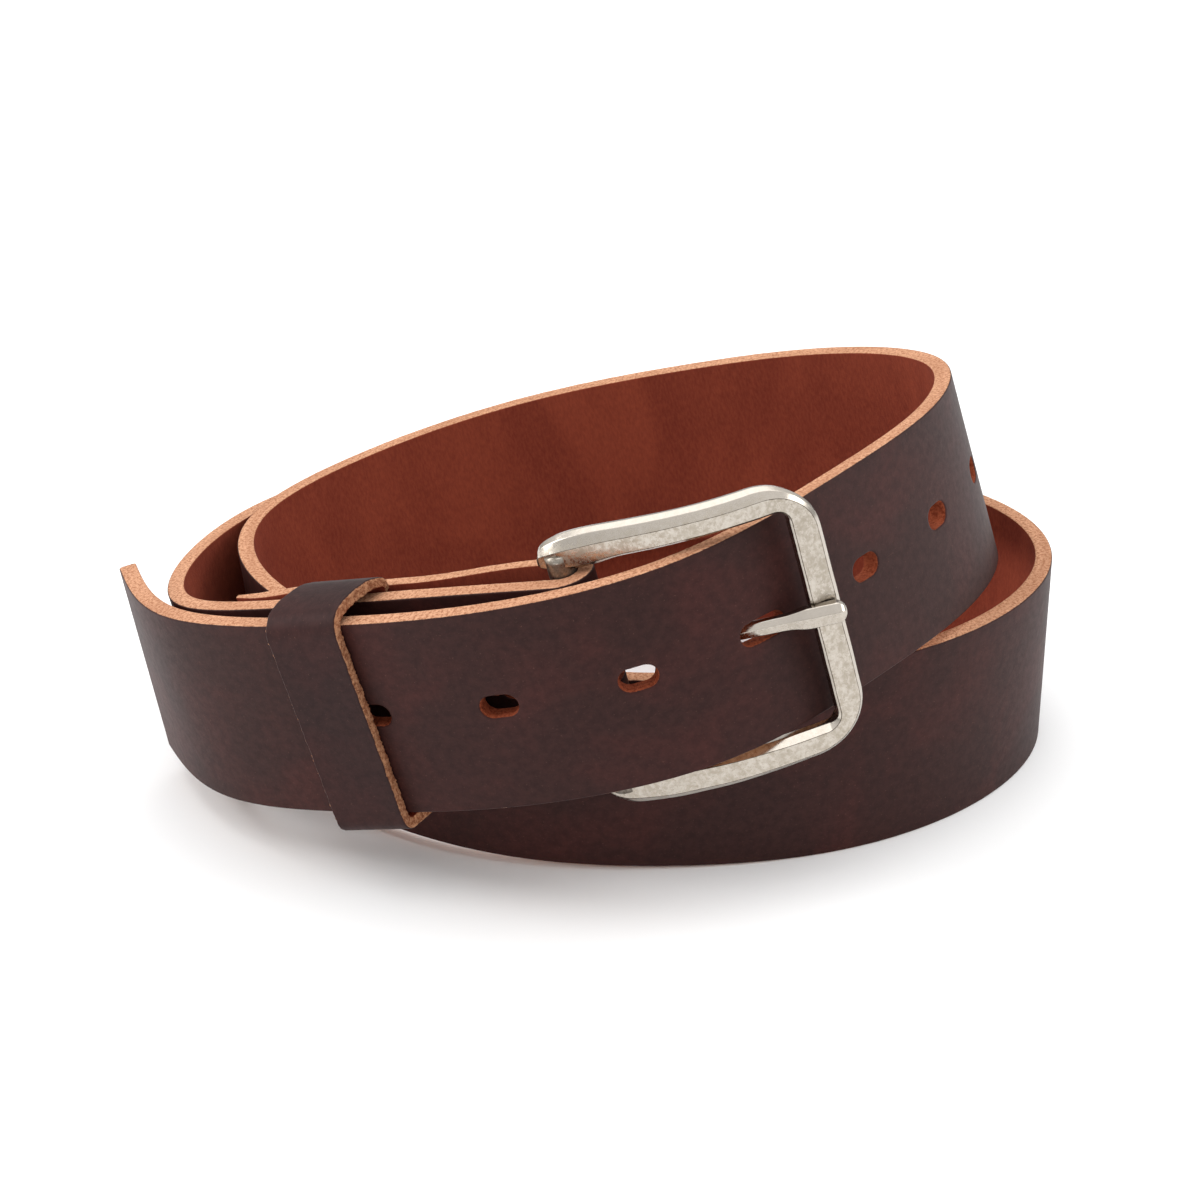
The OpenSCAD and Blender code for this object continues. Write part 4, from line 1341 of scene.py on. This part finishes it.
@dataclass
class Prong:
    """A ridged tongue that turns on the heel bar and rests its swollen head on the far bar."""

    buckling: Buckling
    shank_d: float = 2.8
    ring_wall: float = 1.8
    ring_w: float = 4.6
    over: float = 1.9
    widen: float = 0.28
    widen_from: float = 26.0
    widen_over: float = 14.0
    neck_back: float = 7.0
    shoulder_back: float = 3.0
    ripple: float = 0.02

    def build(self, finish: MetalFinish) -> bpy.types.Object:
        """The prong as one object, riding on its own body."""
        b = self.buckling
        neck, shoulder = b.frame_l - self.neck_back, b.frame_l - self.shoulder_back
        nose = b.frame_l + b.far_bar_w / 2 - 0.8
        shape = rounded_section([(-1.0, 0.15, 0.25), (-0.86, -0.62, 0.2), (0.22, -1.0, 0.1),
                                 (0.93, -0.42, 0.2), (0.97, 0.35, 0.3), (0.5, 0.86, 0.4),
                                 (-0.5, 0.86, 0.4)])
        x = np.concatenate([spread((3.6, 1.0), (neck - 1, 0.4), (shoulder + 0.5, 0.6), (nose, 0)),
                            nose + self.over * np.sin(np.radians(np.arange(10, 90, 10)))])
        rows, cast = [], []
        for at in x:
            swell = float(ease(np.array((at - neck) / (shoulder - neck))))
            r = self.shank_d / 2 + (b.head_d - self.shank_d) / 2 * swell
            if at > nose:
                r *= math.sqrt(max(1 - ((at - nose) / self.over) ** 2, 0.02))
            widen = self.widen * float(ease(np.array((at - self.widen_from) / self.widen_over)))
            wide = r + widen * (r / (b.head_d / 2))
            rows.append(np.column_stack([np.full(len(shape), at), shape[:, 1] * r, shape[:, 0] * wide]))
            flat = (shape[:, 1] < -0.4) * (shape[:, 0] < 0.2) * 0.8
            # Painted shade: dark lines along two of the section's ridges
            ridge = (shape[:, 2] == 2) * 0.35 + (shape[:, 2] == 1) * 0.3
            cast.append(np.column_stack([flat, ridge, 0 * flat]))
        faces = rod_faces(len(rows), len(shape))
        points = np.vstack(rows)
        points[:, 1:] += self.ripple * Ripple(61, 5.0).at(points)[:, None]
        shank = Shell(b.prong_spot.place(points), faces, {"cast": np.vstack(cast)})
        made = join(shank, self.ring()).object("prong_cast", finish.make())
        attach(made, "tongue")
        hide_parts("prong")
        return made

    def ring(self) -> Shell:
        """The ring round the heel bar."""
        b = self.buckling
        inside = b.cut.bar_d / 2 + b.cut.run_gap
        half = self.ring_w / 2
        section = rounded_section([(inside, -half, 0.2), (inside, half, 0.2),
                                   (inside + self.ring_wall, half, 0.5),
                                   (inside + self.ring_wall, -half, 0.5)])
        a = np.linspace(0, 2 * math.pi, 48, endpoint=False)
        points = np.array([(r * math.cos(t), r * math.sin(t), z)
                           for t in a for r, z, _ in section])
        total = len(points)
        quads = grid_faces(len(a) + 1, len(section), wrap=True)
        faces = [tuple(k % total for k in f) for f in quads]
        values = np.tile([0.4, 0.1, 0.0], (total, 1))
        return Shell(b.prong_spot.place(points), faces, {"cast": values})


# ---- The studio --------------------------------------------------------------------------------
@dataclass
class Studio:
    """A pale floor, soft lamps and the camera, whose numbers come from the route's fit."""

    target: tuple[float, float, float] = (1.38, 0.4, 34.77)
    elevation: float = 26.28
    distance: float = 544.4
    lens: float = 82.0
    floor_half: float = 4.0
    room_power: float = 1.22
    room_greys: tuple = ((0.0, 0.20), (0.5, 0.40), (0.72, 0.80), (1.0, 1.0))

    def floor(self) -> None:
        """A wide pale sheet that the belt stands on."""
        half = self.floor_half
        mesh = bpy.data.meshes.new("floor")
        mesh.from_pydata([(-half, -half, 0), (half, -half, 0), (half, half, 0), (-half, half, 0)],
                         [], [(0, 1, 2, 3)])
        t = Tree("floor_paper")
        mesh.materials.append(t.finish(Base_Color=(0.93, 0.93, 0.93), Roughness=0.9,
                                       Specular_IOR_Level=0.1))
        floor = bpy.data.objects.new("floor", mesh)
        bpy.context.scene.collection.objects.link(floor)

    def lamp(self, name: str, place: tuple[float, float, float], size: tuple[float, float],
             power: float, colour: tuple[float, float, float] = (1.0, 1.0, 1.0)) -> None:
        """A flat soft lamp that faces the belt.

        Args:
            name: the lamp's name.
            place: where it hangs, in metres.
            size: its width and height in metres.
            power: in watts.
            colour: of its light.
        """
        data = bpy.data.lights.new(name, "AREA")
        data.shape, data.size, data.size_y = "RECTANGLE", *size
        data.energy, data.color = power, colour
        lamp = bpy.data.objects.new(name, data)
        aim = np.array(self.target) * MM - np.array(place)
        lamp.location = place
        lamp.rotation_euler = Vector(aim).to_track_quat("-Z", "Y").to_euler()
        bpy.context.scene.collection.objects.link(lamp)

    def lights(self) -> None:
        """The lamps and the pale room round them."""
        t = Tree("room", world=True)
        toward = t.add("TexCoord", {}, out="Generated")
        height = t.add("SeparateXYZ", {}, toward, out="Z") * 0.5 + 0.5
        shades = [(place, (grey, grey, grey)) for place, grey in self.room_greys]
        glow = t.add("ValToRGB", {"stops": shades}, height, out="Color")
        bpy.context.scene.world = t.finish(Color=glow, Strength=self.room_power)
        self.lamp("top_box", (-0.1, 0.1, 1.1), (1.4, 1.2), 5.6)
        self.lamp("left_box", (-1.05, -0.1, 0.5), (0.6, 0.7), 5.5)
        self.lamp("right_box", (1.0, -0.1, 0.5), (0.5, 0.7), 3.0)

    def camera(self) -> None:
        """The camera, level with the coil's middle and looking down at it from the front."""
        data = bpy.data.cameras.new("camera")
        data.lens, data.sensor_width = self.lens, 36.0
        data.clip_start, data.clip_end = 0.01, 20.0
        camera = bpy.data.objects.new("camera", data)
        e = math.radians(self.elevation)
        away = np.array([0.0, -math.cos(e), math.sin(e)]) * self.distance
        camera.location = tuple((np.array(self.target) + away) * MM)
        camera.rotation_euler = (math.pi / 2 - e, 0.0, 0.0)
        bpy.context.scene.collection.objects.link(camera)
        bpy.context.scene.camera = camera

    def build(self) -> None:
        """Everything round the belt."""
        self.floor()
        self.lights()
        self.camera()
        bpy.context.scene.view_settings.view_transform = "Standard"


def main() -> None:
    """Builds each piece of the belt and the studio round it."""
    logging.basicConfig(level=logging.INFO, format="%(message)s")
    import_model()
    cut = Cut()
    route = Route(cut)
    buckling = Buckling(cut, route)
    log.info("route %.2f mm, hole in use at %.2f mm", route.length, buckling.cross_s)
    strap = Strap(cut, route, buckling)
    made = [strap.build(LeatherFinish("strap_leather"))]
    keeper = Keeper(cut, route)
    rough_cut = LeatherFinish("keeper_leather", grain=(0.029, 0.0115, 0.0105),
                              grain_red=(0.041, 0.0130, 0.0115), cut=(0.47, 0.235, 0.125),
                              cut_dark=(0.21, 0.075, 0.036), ragged=0.12)
    made.append(keeper.build(rough_cut))
    made.append(keeper.build_staple(MetalFinish("staple_steel", Metal.STEEL)))
    made.append(BuckleFrame(buckling).build(MetalFinish("buckle_nickel", Metal.NICKEL)))
    made.append(Prong(buckling).build(MetalFinish("prong_nickel", Metal.NICKEL, patina=0.4)))
    brass = MetalFinish("screw_brass", Metal.BRASS)
    for name, s in (("front", cut.front_screw_s), ("rear", cut.rear_screw_s)):
        made.append(Fastener(name + "_post", s, False, cut, strap).build(brass))
        made.append(Fastener(name + "_screw", s, True, cut, strap).build(brass))
    Studio().build()
    for piece in made:
        log.info("%s: %d faces", piece.name, len(piece.data.polygons))
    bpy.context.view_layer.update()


if __name__ == "__main__":
    main()
